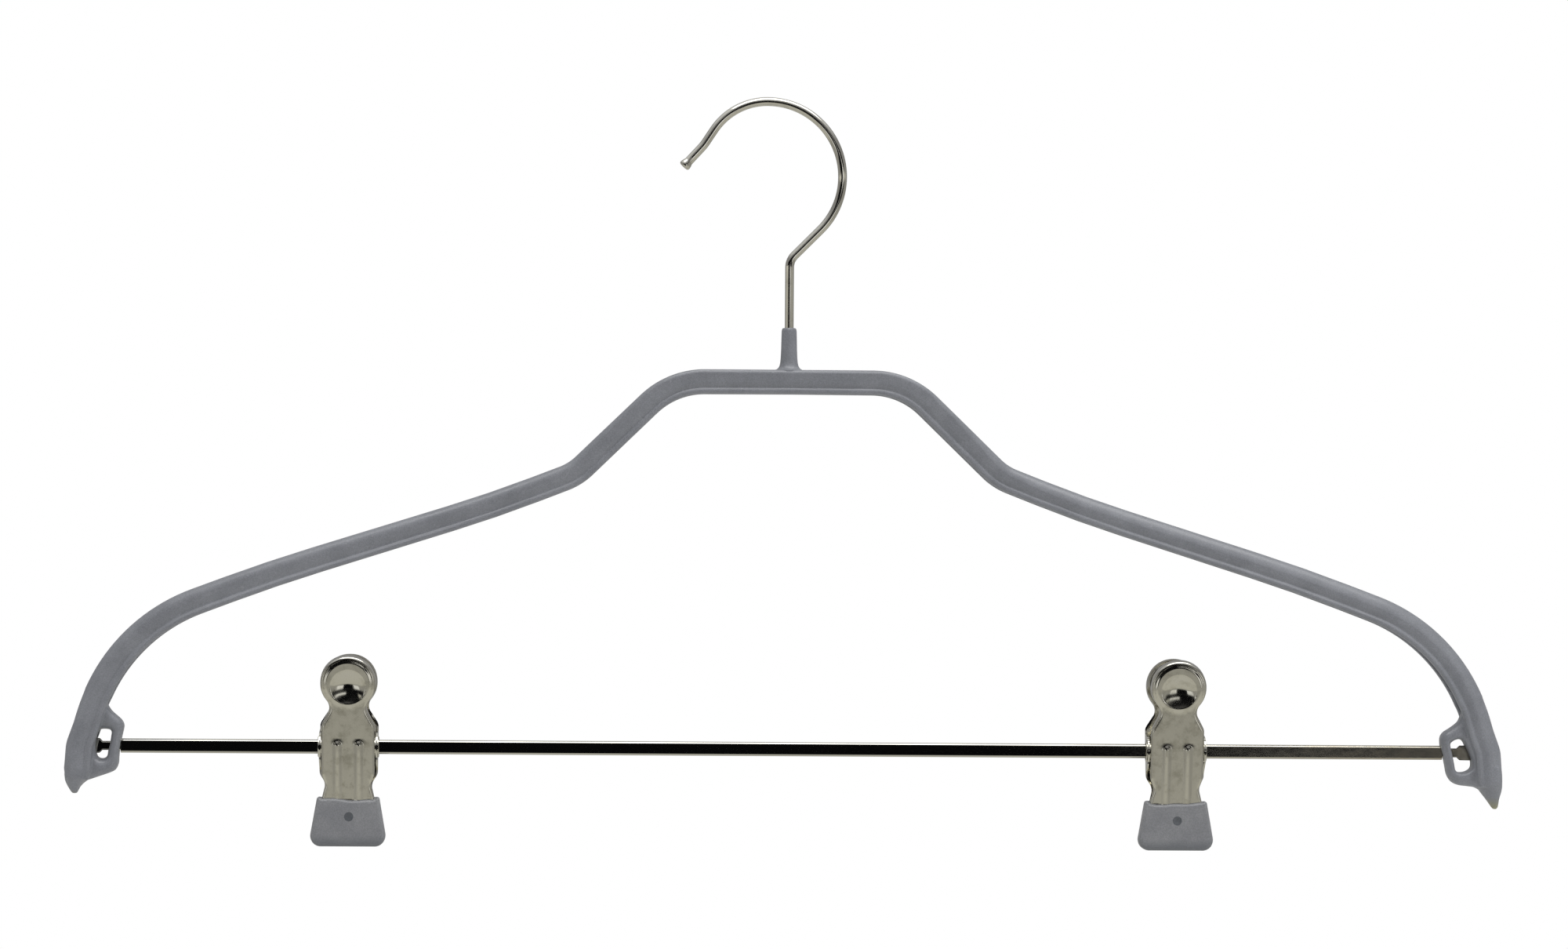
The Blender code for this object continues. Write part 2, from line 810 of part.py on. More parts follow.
def grip_line(inset, top_drop):
    """Half the grip's outline, inset, from its top to its foot: across and drop."""
    corners = (
        (GRIP_WIDE_HALF - inset, GRIP_WIDE_DROP, GRIP_WIDE_BEND - inset),
        (GRIP_FOOT_HALF - inset, GRIP_BOTTOM_DROP - inset, GRIP_FOOT_BEND - inset),
    )
    start = (GRIP_TOP_HALF - inset, top_drop)
    return bent_line(start, corners, (0.0, GRIP_BOTTOM_DROP - inset), PLATE_STEP)


def plate_outline(front):
    """Half the flat pattern, from the head's top round the ear to the foot's middle."""
    radius = PLATE_HEAD_RADIUS
    fold = fold_start(front)
    centre = ear_centre(front)
    cheek = PLATE_HEAD_UP - radius * HEAD_CHEEK_SHARE
    shoulder = (fold, PLATE_SHOULDER_UP)
    upper = bent_line(
        (0.0, PLATE_HEAD_UP + radius),
        (
            (radius, PLATE_HEAD_UP + radius, radius * HEAD_ROUND_SHARE),
            (radius, cheek, radius * HEAD_ROUND_SHARE),
            (NECK_IN, NECK_UP, NECK_BEND),
        ),
        shoulder,
        PLATE_STEP,
    )
    middle, root = fold_lines(front)[1:]
    between = (EAR_ROOT_UP + PLATE_SHOULDER_UP) / 2
    ear = [Vector((middle, between)), Vector((root, EAR_ROOT_UP))]
    ear += [Vector(p) for p in arc_points((centre, 0.0), EAR_RADIUS, TURN / 6, -TURN / 6, 8)]
    ear += [Vector((root, -EAR_ROOT_UP)), Vector((middle, -EAR_ROOT_UP - EAR_BEND / 2))]
    waist = bent_line(
        (fold, -EAR_ROOT_UP - EAR_BEND),
        ((WAIST_HALF - EAR_BEND / 2, -WAIST_DROP, WAIST_BEND),),
        (GRIP_TOP_HALF - GRIP_EDGE_COAT, on_plate(GRIP_TOP_DROP)),
        PLATE_STEP,
    )
    tongue = [Vector((p.x, on_plate(p.y))) for p in grip_line(GRIP_EDGE_COAT, -lower_bend()[1])]
    return upper + ear + waist + tongue


def rib_points(side, share):
    """One loop round a rib: its rounded top, its straight sides and its foot."""
    half = share * RIB_WIDTH / 2
    middle = side * RIB_APART / 2
    top = (middle, RIB_TOP_UP - RIB_WIDTH / 2)
    foot = on_plate(GRIP_TOP_DROP) - RIB_FADE / 4
    fade = foot + RIB_FADE
    points = arc_points(top, half, 0.0, math.pi, 4)
    return points + [
        (middle - half, fade),
        (middle - half, foot),
        (middle + half, foot),
        (middle + half, fade),
    ]


def relief(across, along):
    """How far the stamping stands out of the plate's face."""
    rise = 0.0
    apart = math.hypot(across, along - PLATE_HEAD_UP)
    if apart < DISH_RADIUS:
        share = apart / DISH_RADIUS
        rise -= DISH_DEPTH * (1 - share * share) * (1 - share**8)
    half = RIB_WIDTH / 2
    foot = on_plate(GRIP_TOP_DROP) - RIB_FADE / 4
    above = max(0.0, along - (RIB_TOP_UP - half))
    off = math.hypot(abs(across) - RIB_APART / 2, above)
    if off < half and along > foot:
        fade = min(1.0, (along - foot) / RIB_FADE)
        rise += RIB_HEIGHT * fade * (1 + math.cos(math.pi * off / half)) / 2
    return rise


def fold_point(across, along, front):
    """Carry a point of the flat pattern to the folded plate: x, along, out."""
    out = plate_middle() + relief(across, along)
    fold = fold_start(front)
    beyond = abs(across) - fold
    near_ear = abs(along) < PLATE_SHOULDER_UP + EAR_BEND
    if beyond > 0 and near_ear:
        arc = EAR_BEND * math.pi / 2
        angle = min(beyond, arc) / EAR_BEND
        x = fold + EAR_BEND * math.sin(angle)
        out = plate_middle() - EAR_BEND * (1 - math.cos(angle)) - max(0.0, beyond - arc)
        across = math.copysign(x, across)
    bend, _ = lower_bend()
    if along < bend:
        below = bend - along
        along = bend - below * math.cos(PLATE_TILT)
        out += below * math.sin(PLATE_TILT)
    return across, along, out


def lean_point(across, along, out):
    """Stand the front plate up in the clip's frame, its top leaning to the front."""
    lean, rise = math.sin(PLATE_TILT), math.cos(PLATE_TILT)
    return (across, -out * rise - along * lean, along * rise - out * lean)


def inside(point, loop):
    crossings = 0
    for (ax, ay), (bx, by) in zip(loop, loop[1:] + loop[:1]):
        if (ay > point[1]) != (by > point[1]):
            if point[0] < ax + (point[1] - ay) * (bx - ax) / (by - ay):
                crossings += 1
    return crossings % 2 == 1


def sheet_mesh(name, outline, holes, rings, lines, front):
    """Triangulate a flat pattern along its outline, holes and crease lines, then fold it."""
    points, edges = [], []
    for loop in [outline] + holes + rings:
        first = len(points)
        points += [Vector(point) for point in loop]
        count = len(loop)
        edges += [(first + i, first + (i + 1) % count) for i in range(count)]
    for line in lines:
        first = len(points)
        points += [Vector(point) for point in line]
        edges += [(first + i, first + i + 1) for i in range(len(line) - 1)]
    places, _, faces, *_ = delaunay_2d_cdt(points, edges, [], 0, SHEET * MERGE_SHARE)
    outer = [tuple(point) for point in outline]
    inner = [[tuple(point) for point in hole] for hole in holes]
    shape = bmesh.new()
    verts = [
        shape.verts.new(lean_point(*fold_point(place.x, place.y, front))) for place in places
    ]
    for face in faces:
        middle = sum((places[i] for i in face), Vector((0.0, 0.0))) / len(face)
        if inside(middle, outer) and not any(inside(middle, hole) for hole in inner):
            shape.faces.new([verts[i] for i in face])
    loose = [vert for vert in shape.verts if not vert.link_faces]
    bmesh.ops.delete(shape, geom=loose, context="VERTS")
    return finish_mesh(name, shape)


def thicken(obj, thickness):
    modifier = obj.modifiers.new("sheet", "SOLIDIFY")
    modifier.thickness = thickness
    modifier.offset = 0.0
    modifier.use_even_offset = True


def whole_outline(half):
    """Both halves of a symmetric outline as one loop."""
    right = [tuple(point) for point in half]
    left = [(-x, y) for x, y in reversed(right[1:-1])]
    return right + left


def plate_mesh(name, front):
    outline = whole_outline(plate_outline(front))
    holes, rings, lines = [], [], []
    centre = ear_centre(front)
    hole = tube_outer() + EAR_HOLE_GAP
    for side in (-1, 1):
        loop = arc_points((side * centre, 0.0), hole, 0.0, TURN, EAR_HOLE_SIDES)[:-1]
        holes.append(loop)
        start, middle, root = fold_lines(front)
        low, high = -EAR_ROOT_UP, PLATE_SHOULDER_UP
        lines.append([(side * start, low - EAR_BEND), (side * start, 0.0), (side * start, high)])
        low, high = low - EAR_BEND / 2, (EAR_ROOT_UP + high) / 2
        lines.append([(side * middle, low), (side * middle, 0.0), (side * middle, high)])
        lines.append([(side * root, -EAR_ROOT_UP), (side * root, EAR_ROOT_UP)])
        rings += [rib_points(side, share) for share in RIB_RING_SHARES]
        spine = side * RIB_APART / 2
        foot = on_plate(GRIP_TOP_DROP) - RIB_FADE / 4
        lines.append([(spine, RIB_TOP_UP - RIB_WIDTH / 2), (spine, foot + RIB_FADE), (spine, foot)])
    for share in DISH_RING_SHARES:
        ring = arc_points((0.0, PLATE_HEAD_UP), share * DISH_RADIUS, 0.0, TURN, DISH_SIDES)
        rings.append(ring[:-1])
    bend = lower_bend()[0]
    half = GRIP_TOP_HALF - GRIP_EDGE_COAT
    lines.append([(-half, bend), (half, bend)])
    return sheet_mesh(name, outline, holes, rings, lines, front)


def tongue_room_mesh(name):
    """The plate's lower end, larger all round by the coat's gap, to clear the grip's inside."""
    start_drop = GRIP_TOP_DROP - OVERRUN
    bend = lower_bend()[0]
    edge = [Vector((p.x, on_plate(p.y))) for p in grip_line(GRIP_EDGE_COAT - COAT_GAP, start_drop)]
    top = on_plate(start_drop)
    outline = whole_outline([Vector((0.0, top))] + edge)
    half = GRIP_TOP_HALF - GRIP_EDGE_COAT
    lines = [[(-half, bend), (half, bend)]]
    for side in (-1, 1):
        spine = side * RIB_APART / 2
        foot = on_plate(GRIP_TOP_DROP) - RIB_FADE / 4
        for off in (-1, -0.5, 0, 0.5, 1):
            x = spine + off * RIB_WIDTH / 2
            lines.append([(x, top), (x, foot)])
    return sheet_mesh(name, outline, [], [], lines, True)


def grip_block_mesh(name):
    """The grip's outside as a flat-backed block with rounded edges."""
    corners = ((GRIP_TOP_HALF, -GRIP_TOP_DROP, GRIP_TOP_BEND),)
    cheek = (GRIP_TOP_HALF + GRIP_ROUND / 6, -(GRIP_TOP_DROP + GRIP_ROUND * 2))
    top = bent_line((0.0, -GRIP_TOP_DROP), corners, cheek, PLATE_STEP)
    side = [Vector((p.x, -p.y)) for p in grip_line(0.0, GRIP_TOP_DROP)]
    outline = whole_outline(top[:-1] + side[1:])
    shape = bmesh.new()
    front = -GRIP_HALF_GAP - GRIP_THICKNESS
    verts = [shape.verts.new((x, front, z)) for x, z in outline]
    face = shape.faces.new(verts)
    out = bmesh.ops.extrude_face_region(shape, geom=[face])
    moved = [item for item in out["geom"] if isinstance(item, bmesh.types.BMVert)]
    bmesh.ops.translate(shape, vec=(0.0, GRIP_THICKNESS, 0.0), verts=moved)
    bmesh.ops.recalc_face_normals(shape, faces=shape.faces)
    rims = [edge for edge in shape.edges if all(v.co.y < front + SHEET for v in edge.verts)]
    bmesh.ops.bevel(
        shape,
        geom=rims,
        offset=GRIP_ROUND,
        segments=GRIP_ROUND_STEPS,
        profile=GRIP_ROUND_SHARE,
        affect="EDGES",
    )
    return finish_mesh(name, shape)


def tube_outer():
    return TUBE_BORE_RADIUS + TUBE_WALL


def build_pivot_tube(name, slider, material):
    """A short tube with both ends flared over the outer ears."""
    inner, outer = TUBE_BORE_RADIUS, tube_outer()
    neck = ear_out(False) + EAR_SIDE_GAP
    end = neck + TUBE_FLARE_LENGTH
    flare = outer + TUBE_FLARE
    profile = [
        (inner, -end),
        (flare, -end),
        (flare, -neck),
        (outer, -neck),
        (outer, neck),
        (flare, neck),
        (flare, end),
        (inner, end),
    ]
    add_object(name, turned(name, profile, TUBE_SIDES, along_x=True), slider, material)


def spring_points():
    """Front leg, coil and rear leg in the clip's frame, behind the plates' inner faces."""
    tilt = PLATE_TILT
    first = math.pi + tilt
    last = TURN * SPRING_TURNS - tilt
    turns = (last - first) / TURN
    half = SPRING_PITCH * turns / 2
    count = round(turns * SPRING_POINTS)
    coil = []
    for i in range(count + 1):
        share = i / count
        angle = first + (last - first) * share
        x = -half + 2 * half * share
        coil.append(Vector((x, SPRING_RADIUS * math.cos(angle), SPRING_RADIUS * math.sin(angle))))
    up_front = Vector((0.0, -math.sin(tilt), math.cos(tilt)))
    up_rear = Vector((0.0, math.sin(tilt), math.cos(tilt)))
    front = [coil[0] + up_front * SPRING_LEG, coil[0] + up_front * SPRING_WIRE]
    rear = [coil[-1] + up_rear * SPRING_WIRE, coil[-1] + up_rear * SPRING_LEG]
    return front + coil + rear


def least_gap(points):
    """The least clear distance of the spring's wire to itself, a wire's way along apart."""
    fine, run, length = [], [], 0.0
    for a, b in zip(points, points[1:]):
        steps = max(1, round((b - a).length / (SPRING_WIRE / 4)))
        for i in range(steps):
            fine.append(a.lerp(b, i / steps))
            run.append(length + (b - a).length * i / steps)
        length += (b - a).length
    least = length
    for i, a in enumerate(fine):
        for j in range(i + 1, len(fine)):
            if run[j] - run[i] > 4 * SPRING_WIRE:
                least = min(least, (fine[j] - a).length)
    return least - SPRING_WIRE


def build_spring(name, jaw, material):
    points = spring_points()
    gap = least_gap(points)
    print(name, "least gap to itself, in metres:", round(gap, 6), "over", SPRING_LEAST_GAP)
    curve = bpy.data.curves.new(name, "CURVE")
    curve.dimensions = "3D"
    curve.bevel_depth = SPRING_WIRE / 2
    curve.bevel_resolution = 1
    curve.use_fill_caps = True
    spline = curve.splines.new("POLY")
    spline.points.add(len(points) - 1)
    for place, point in zip(spline.points, points):
        place.co = (*point, 1.0)
    curve.materials.append(material)
    spring = bpy.data.objects.new(name, curve)
    bpy.context.scene.collection.objects.link(spring)
    spring.parent = jaw


def build_clip(side, slider, materials):
    """One clip about its axis: the rear jaw is the front jaw turned half way round."""
    build_pivot_tube(side + "_clip_pivot_tube", slider, materials["plated"])
    build_spring(side + "_clip_spring", slider, materials["spring"])
    for jaw, front in (("front", True), ("rear", False)):
        axis = add_empty(side + "_clip_" + jaw + "_axis", slider, (0.0, 0.0, 0.0))
        if not front:
            axis.rotation_euler = (0.0, 0.0, math.pi)
        name = side + "_clip_" + jaw
        plated = plate_mesh(name + "_plate", front)
        plate = add_object(name + "_plate", plated, axis, materials["plated"])
        thicken(plate, SHEET)
        block = grip_block_mesh(name + "_grip")
        grip = add_object(name + "_grip", block, axis, materials["vinyl"])
        room = add_cutter(name + "_room", tongue_room_mesh(name + "_room"), axis)
        thicken(room, SHEET + 2 * COAT_GAP)
        combine(grip, room, "DIFFERENCE")


def build_hanger():
    clear_scene()
    materials = {
        "vinyl": make_material("dipped_grey_vinyl", srgb(140, 142, 146), 0.0, 0.42),
        "plated": make_material("nickel_plated_sheet", srgb(165, 164, 152), 1.0, 0.20),
        "wire": make_material("nickel_plated_wire", srgb(176, 174, 162), 1.0, 0.12),
        "bar": make_material("polished_plated_bar", srgb(150, 148, 138), 1.0, 0.15),
        "steel": make_material("rolled_steel", srgb(120, 120, 122), 1.0, 0.45),
        "spring": make_material("spring_steel", srgb(110, 108, 104), 1.0, 0.30),
    }
    seat = (
        -CROWN_ACROSS_SHARE * HOOK_LOOP,
        0.0,
        WIRE_RADIUS - bend_up() - HOOK_LOOP,
    )
    hook = add_empty("hook_axis", None, seat)
    frame = add_empty("swivel_axis", None, seat)
    build_hook(hook, materials["wire"])
    build_shoulder_channel(frame, materials["steel"])
    build_hook_sleeve(frame, materials["steel"])
    build_end_brackets(frame, materials["steel"])
    build_frame_coating(frame, materials["vinyl"])
    build_clip_bar(frame, materials["bar"])
    for side, x in (("left", LEFT_CLIP_X), ("right", RIGHT_CLIP_X)):
        slider = add_empty(side + "_clip_axis", frame, (x, 0.0, 0.0))
        build_clip(side, slider, materials)


build_hanger()
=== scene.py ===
"""Looks of a vinyl-dipped shoulder hanger with a turning wire hook and two sprung clips."""

import json
import math

import bmesh
import bpy
from mathutils import Matrix, Vector
from mathutils.geometry import delaunay_2d_cdt


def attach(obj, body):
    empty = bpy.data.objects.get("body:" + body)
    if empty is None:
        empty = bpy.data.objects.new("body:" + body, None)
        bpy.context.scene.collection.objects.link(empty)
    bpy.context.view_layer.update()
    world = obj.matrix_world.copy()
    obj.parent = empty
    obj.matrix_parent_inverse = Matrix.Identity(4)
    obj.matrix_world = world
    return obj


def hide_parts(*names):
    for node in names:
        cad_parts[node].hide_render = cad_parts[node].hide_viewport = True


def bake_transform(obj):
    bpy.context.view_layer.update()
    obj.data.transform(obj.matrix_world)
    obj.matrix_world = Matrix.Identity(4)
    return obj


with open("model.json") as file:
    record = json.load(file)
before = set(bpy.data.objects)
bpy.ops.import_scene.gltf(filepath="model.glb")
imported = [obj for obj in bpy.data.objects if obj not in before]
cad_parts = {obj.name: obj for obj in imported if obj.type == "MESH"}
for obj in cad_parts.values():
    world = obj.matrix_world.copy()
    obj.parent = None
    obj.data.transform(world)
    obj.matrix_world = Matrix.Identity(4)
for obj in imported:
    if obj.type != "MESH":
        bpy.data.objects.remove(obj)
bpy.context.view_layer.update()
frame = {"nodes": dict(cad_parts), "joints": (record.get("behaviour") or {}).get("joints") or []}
joints = {joint["name"]: joint for joint in frame["joints"]}

MM = 0.001
TURN = 2.0 * math.pi
AXIS_X = joints["hook_swivel"]["pos_m"][0]
BAR_Z = joints["left_clip_open"]["pos_m"][2]
SEAT = Vector((AXIS_X, 0.0, BAR_Z))

# Shoulder frame
HALF_SPAN = 209.8 * MM
CROSSBAR_UP = 110.5 * MM
CROSSBAR_HEIGHT = 7.0 * MM
END_HEIGHT = 7.8 * MM
HALF_DEPTH = 5.0 * MM
ROOF_RADIUS = 3.4 * MM
TOE_DROP = 9.4 * MM
COAT_WALL = 2.1 * MM
# Bends of the roof line as (across, up, bend radius): across and radius are shares of half the
# span, up is a share of the crossbar's height over the bar
ARM_LINE = (
    (0.1687, 1.0000, 0.129),
    (0.3054, 0.7496, 0.067),
    (0.4157, 0.6688, 1.900),
    (0.7207, 0.4869, 2.400),
)
ARM_END_UP = 36.1 * MM
# Bends near the toe as (inwards from it, up from the bar, bend radius): shares of ARM_END_UP
ARM_END = ((0.3155, 1.0000, 1.493), (0.0802, 0.1910, 0.116), (0.0198, 0.0220, 0.302))
BEAD_RADIUS = 0.85 * MM
LIP_RADIUS = 0.5 * MM
ROOF_STEPS = 10
# The coat's face below the ridge: share of its height, then how far it stands out in mm, on the
# crossbar and the right arm and on the left arm
WAIST = (
    (0.50, -0.02, -0.07), (0.57, -0.07, -0.18), (0.64, -0.18, -0.30), (0.70, -0.33, -0.40),
    (0.745, -0.42, -0.43), (0.775, -0.36, -0.35), (0.80, -0.17, -0.17), (0.83, 0.05, 0.05),
)
# The dipped stub round the hook's sleeve, down its outside and into its bore: radius, up from the
# crossbar, mm
STUB_PROFILE = (
    (4.9, -1.1), (4.75, -0.08), (4.1, 0.06), (3.55, 0.28), (3.1, 0.68), (2.78, 1.25), (2.58, 2.1),
    (2.44, 3.6), (2.34, 6.0), (2.26, 9.5), (2.2, 11.4), (2.1, 11.92), (1.9, 12.22), (1.7, 12.3),
    (1.52, 12.15), (1.5, 11.1), (1.5, -1.1),
)
# Outlines of the dipped brackets in mm: across from the swivel axis, up from the bar
WEBS = {
    -1: (
        (200.6, 16.6), (197.9, 13.6), (197.2, 11.8), (196.1, 10.1), (194.5, 8.7), (193.2, 7.5),
        (192.5, 6.1), (192.6, 4.8), (193.1, 2.5), (193.7, -0.9), (193.9, -3.5), (194.0, -5.1),
        (194.8, -6.9), (196.3, -7.8), (199.5, -8.9), (202.8, -10.0), (206.0, -10.4), (207.2, -5.0),
        (206.0, 4.0), (203.4, 12.0),
    ),
    1: (
        (199.6, 14.6), (197.5, 11.0), (197.1, 9.8), (196.1, 8.6), (194.2, 7.2), (192.5, 6.1),
        (191.6, 4.9), (191.4, 3.6), (191.6, 1.6), (192.4, -1.4), (192.9, -3.7), (193.3, -5.9),
        (194.1, -7.6), (195.2, -8.7), (196.9, -9.4), (199.5, -9.7), (201.5, -10.0), (205.0, -11.0),
        (207.4, -5.0), (206.0, 4.0), (203.0, 11.0),
    ),
}
WINDOWS = {
    -1: (
        (200.5, 2.0), (200.2, 3.4), (199.6, 4.4), (198.7, 4.8), (197.4, 4.8), (196.4, 4.6),
        (196.0, 4.0), (196.1, 3.0), (196.5, 0.4), (197.0, -1.6), (197.1, -2.6), (197.6, -3.4),
        (198.6, -3.7), (199.6, -3.5), (200.3, -2.6), (200.6, -0.5),
    ),
    1: (
        (194.3, 2.4), (194.8, 3.2), (196.0, 3.9), (197.3, 4.0), (198.2, 3.3), (198.8, 2.0),
        (199.7, 0.1), (200.5, -2.2), (200.5, -4.1), (199.8, -4.9), (198.5, -5.5), (196.9, -5.6),
        (195.9, -5.1), (195.5, -3.3), (194.9, -0.4),
    ),
}
# How the dip rounds a bracket off: (half depth, outline drawn in, window opened), mm
ROUNDING = {
    -1: (
        (0.0, 0.0, 0.0), (1.2, 0.0, 0.0), (2.2, 0.05, 0.3), (2.95, 0.35, 0.75), (3.4, 0.85, 1.3),
        (3.7, 1.45, 2.1),
    ),
    1: (
        (0.0, 0.0, 0.0), (1.2, 0.0, 0.0), (2.2, 0.15, 0.1), (2.9, 0.5, 0.25), (3.4, 1.1, 0.5),
        (3.7, 1.9, 1.0),
    ),
}
# The last drop of the dip: up, outer edge, inner edge, half depth, mm
DRIPS = {
    -1: (
        (-4.0, 209.2, 201.4, 4.5), (-6.5, 209.45, 201.7, 4.75), (-8.4, 209.6, 202.0, 4.8),
        (-10.0, 209.45, 202.8, 4.2), (-11.0, 209.1, 204.1, 3.3), (-12.0, 208.6, 205.0, 2.4),
        (-13.0, 208.0, 205.5, 1.5), (-13.9, 207.3, 206.0, 0.6),
    ),
    1: (
        (-4.0, 209.3, 201.2, 4.5), (-6.5, 209.6, 201.5, 4.75), (-8.4, 209.7, 201.8, 4.8),
        (-10.0, 209.75, 202.4, 4.3), (-11.6, 209.5, 203.5, 3.3), (-13.0, 209.1, 204.6, 2.4),
        (-13.8, 208.9, 205.2, 1.9), (-14.8, 208.8, 205.9, 1.3), (-15.8, 208.6, 206.6, 0.9),
        (-16.4, 208.2, 207.2, 0.4),
    ),
}
# The end pieces take over from the channel here, and its waist and bead fade out towards the toe
END_FROM = 15.0 * MM
BEAD_FADE = (-4.5 * MM, -8.0 * MM)
END_VOXEL = 0.24 * MM
BRACKET_SIDES = 120
# Steel strip in each bracket: vinyl over its outside and its inside
STRIP_COVER = (0.95 * MM, 0.85 * MM)
STRIP_BEVEL = 0.2 * MM
STRIP_HALF_DEPTH = 2.6 * MM

# Clip bar: height, depth, bevel, mm
BAR_SECTION = (4.1, 2.4, 0.5)
# Side, then where the full section meets the bracket, where the head starts and where it ends, mm
# from the axis
BAR_ENDS = ((-1, 193.4, 198.7, 202.0), (1, 192.0, 196.4, 202.0))
# Which of these three places, how far beyond it, then height, depth and bevel there, mm
BAR_END_SECTIONS = (
    (0, -0.1, *BAR_SECTION), (0, 0.0, 3.9, 2.2, 0.45), (0, 0.05, 2.6, 1.8, 0.3),
    (1, 0.0, 2.6, 1.8, 0.3), (1, 0.6, 3.9, 1.7, 0.35), (1, 0.9, 4.3, 1.6, 0.3),
    (2, -0.2, 4.4, 1.6, 0.3), (2, 0.0, 4.1, 1.4, 0.3),
)

# Hook
WIRE_RADIUS = 1.3 * MM
HOOK_LOOP = 46.3 * MM
BEND_UP = 142.6 * MM
# Bends of the hook as (across, up, bend radius), then its tip: shares of HOOK_LOOP, up from BEND_UP
HOOK_LINE = (
    (0.0000, 0.0000, 0.108),
    (0.3305, 0.3311, 0.472),
    (0.3305, 1.0000, 0.472),
    (-0.3629, 1.0000, 0.405),
    (-0.5464, 0.7214, 0.260),
    (-0.6739, 0.5832, 0.0),
)
# The foot starts this far under the crossbar's roof
HOOK_FOOT_DROP = 2.4 * MM
# Width of the wire as a share of its own, at mm up from the foot and at mm back from the tip
HOOK_FOOT = ((-1.0, 1.69), (0.0, 1.69), (0.02, 1.0))
HOOK_TIP = (
    (2.4, 1.0), (2.0, 1.06), (1.5, 1.2), (0.9, 1.28), (0.45, 1.27), (0.2, 1.16), (0.05, 0.92),
    (0.0, 0.6),
)

# Clips, measured from the pivot
SHEET = 0.5 * MM
TILT = math.radians(12.5)
PLATE_MIDDLE = 4.85 * MM
HEAD_UP = 20.0 * MM
HEAD_RADIUS = 8.0 * MM
# Half width over the ears, front plate and rear plate
EAR_OUT = (7.7 * MM, 8.5 * MM)
# Half the plate's outline: (across, up, bend radius), at the ears without the across
NECK = (4.8 * MM, 13.1 * MM, 3.4 * MM)
SHOULDER = (7.6 * MM, 2.6 * MM)
FLANK = (-7.2 * MM, 3.0 * MM)
JAW = (6.6 * MM, -10.2 * MM, 3.4 * MM)
FOOT = (7.95 * MM, -15.6 * MM)
FOOT_CORNER = (7.9 * MM, -19.0 * MM, 1.5 * MM)
# The plate's rolled edge: up, roll radius, skirt behind it, mm
RIMS = (
    (-19.0, 0.35, 0.10), (-13.0, 0.45, 0.2), (-9.0, 0.6, 0.4), (7.0, 0.6, 0.6), (10.0, 0.7, 1.4),
    (14.0, 0.7, 1.9), (20.0, 0.6, 2.1), (24.0, 0.55, 2.1), (28.0, 0.55, 2.1),
)
RIM_STEPS = 12
# Raised disc, thumb dish and ribs, with the shares of each at which the sheet has points
DISC_RADIUS = 6.2 * MM
DISC_STEP = 0.85 * MM
DISC_RISE = 0.21 * MM
DISC_RINGS = (-0.6, -0.2, 0.0, 0.12, 0.28, 0.42, 0.58, 0.72, 0.88, 1.0)
DISH_UP = HEAD_UP - 0.85 * MM
DISH_RADIUS = 5.15 * MM
DISH_DEPTH = 1.46 * MM
DISH_RINGS = (1.03, 1.0, 0.99, 0.94, 0.88, 0.81, 0.73, 0.65, 0.57, 0.49, 0.41, 0.33, 0.24, 0.16, 0.08)
RIB_APART = 3.1 * MM
RIB_HALF = 1.5 * MM
RIB_TOP = 3.3 * MM
RIB_RISE = 0.56 * MM
RIB_STRETCH = 1.1
RIB_BASE = RIB_TOP - RIB_HALF * RIB_STRETCH
RIB_RINGS = (1.0, 0.94, 0.86, 0.77, 0.68, 0.58, 0.48, 0.37, 0.25, 0.12)
EAR_RADIUS = 4.3 * MM
EAR_HOLE = 3.1 * MM
EAR_TANGENT = math.radians(66)
EAR_SIDES = 64
# One end of the pivot tube, from its bore round the flare: radius, along, mm
TUBE_END = ((2.4, -8.75), (2.55, -8.85), (2.93, -8.85), (3.05, -8.73), (3.05, -8.6), (2.75, -8.6))
GRIP_TOP = 14.6 * MM
GRIP_BOTTOM = 28.9 * MM
GRIP_FRONT = 2.9 * MM
GRIP_BACK = 0.15 * MM
GRIP_TOP_HALF = 8.95 * MM
GRIP_ROUND = 1.15 * MM
GRIP_BACK_ROUND = 0.35 * MM
GRIP_STEPS = 8
DIMPLE_PLACE = (0.3 * MM, -20.2 * MM)
DIMPLE_RADIUS = 1.5 * MM
DIMPLE_DEPTH = 0.22 * MM
SPRING_RADIUS = 3.7 * MM
SPRING_PITCH = 1.5 * MM
SPRING_TURNS = 6
SPRING_WIRE = 1.0 * MM
SPRING_LEG = 13.5 * MM

# Meshing
MERGE = 0.002 * MM
FILL_TOLERANCE = 0.02 * MM


# Points and lines


def fitted_radii(places, radii):
    """Bend radii, each no larger than the straights beside it have room for."""
    reaches = [0.0]
    for i, radius in enumerate(radii, 1):
        turn = math.pi - (places[i - 1] - places[i]).angle(places[i + 1] - places[i])
        reaches.append(radius * math.tan(turn / 2))
    reaches.append(0.0)
    rooms = []
    for i in range(len(places) - 1):
        wanted = reaches[i] + reaches[i + 1]
        length = (places[i + 1] - places[i]).length
        rooms.append(min(1.0, length / wanted) if wanted else 1.0)
    return [radius * min(rooms[i], rooms[i + 1]) for i, radius in enumerate(radii)]


def bent_line(start, corners, end, step):
    """A line of straights joined by arcs. Each corner is (across, up, bend radius)."""
    points = [Vector(start)]
    places = [Vector(start)] + [Vector(corner[:2]) for corner in corners] + [Vector(end)]
    radii = fitted_radii(places, [corner[2] for corner in corners])
    for i, radius in enumerate(radii, 1):
        corner = places[i]
        back = (places[i - 1] - corner).normalized()
        ahead = (places[i + 1] - corner).normalized()
        turn = math.pi - back.angle(ahead)
        reach = radius * math.tan(turn / 2)
        centre = corner + (back + ahead).normalized() * (radius / math.cos(turn / 2))
        first = corner + back * reach - centre
        last = corner + ahead * reach - centre
        spin = math.copysign(turn, first.x * last.y - first.y * last.x)
        count = max(1, math.ceil(turn / step))
        for k in range(count + 1):
            place = centre + Matrix.Rotation(spin * k / count, 2) @ first
            if (place - points[-1]).length > 0.001 * reach:
                points.append(place)
    points.append(Vector(end))
    return points


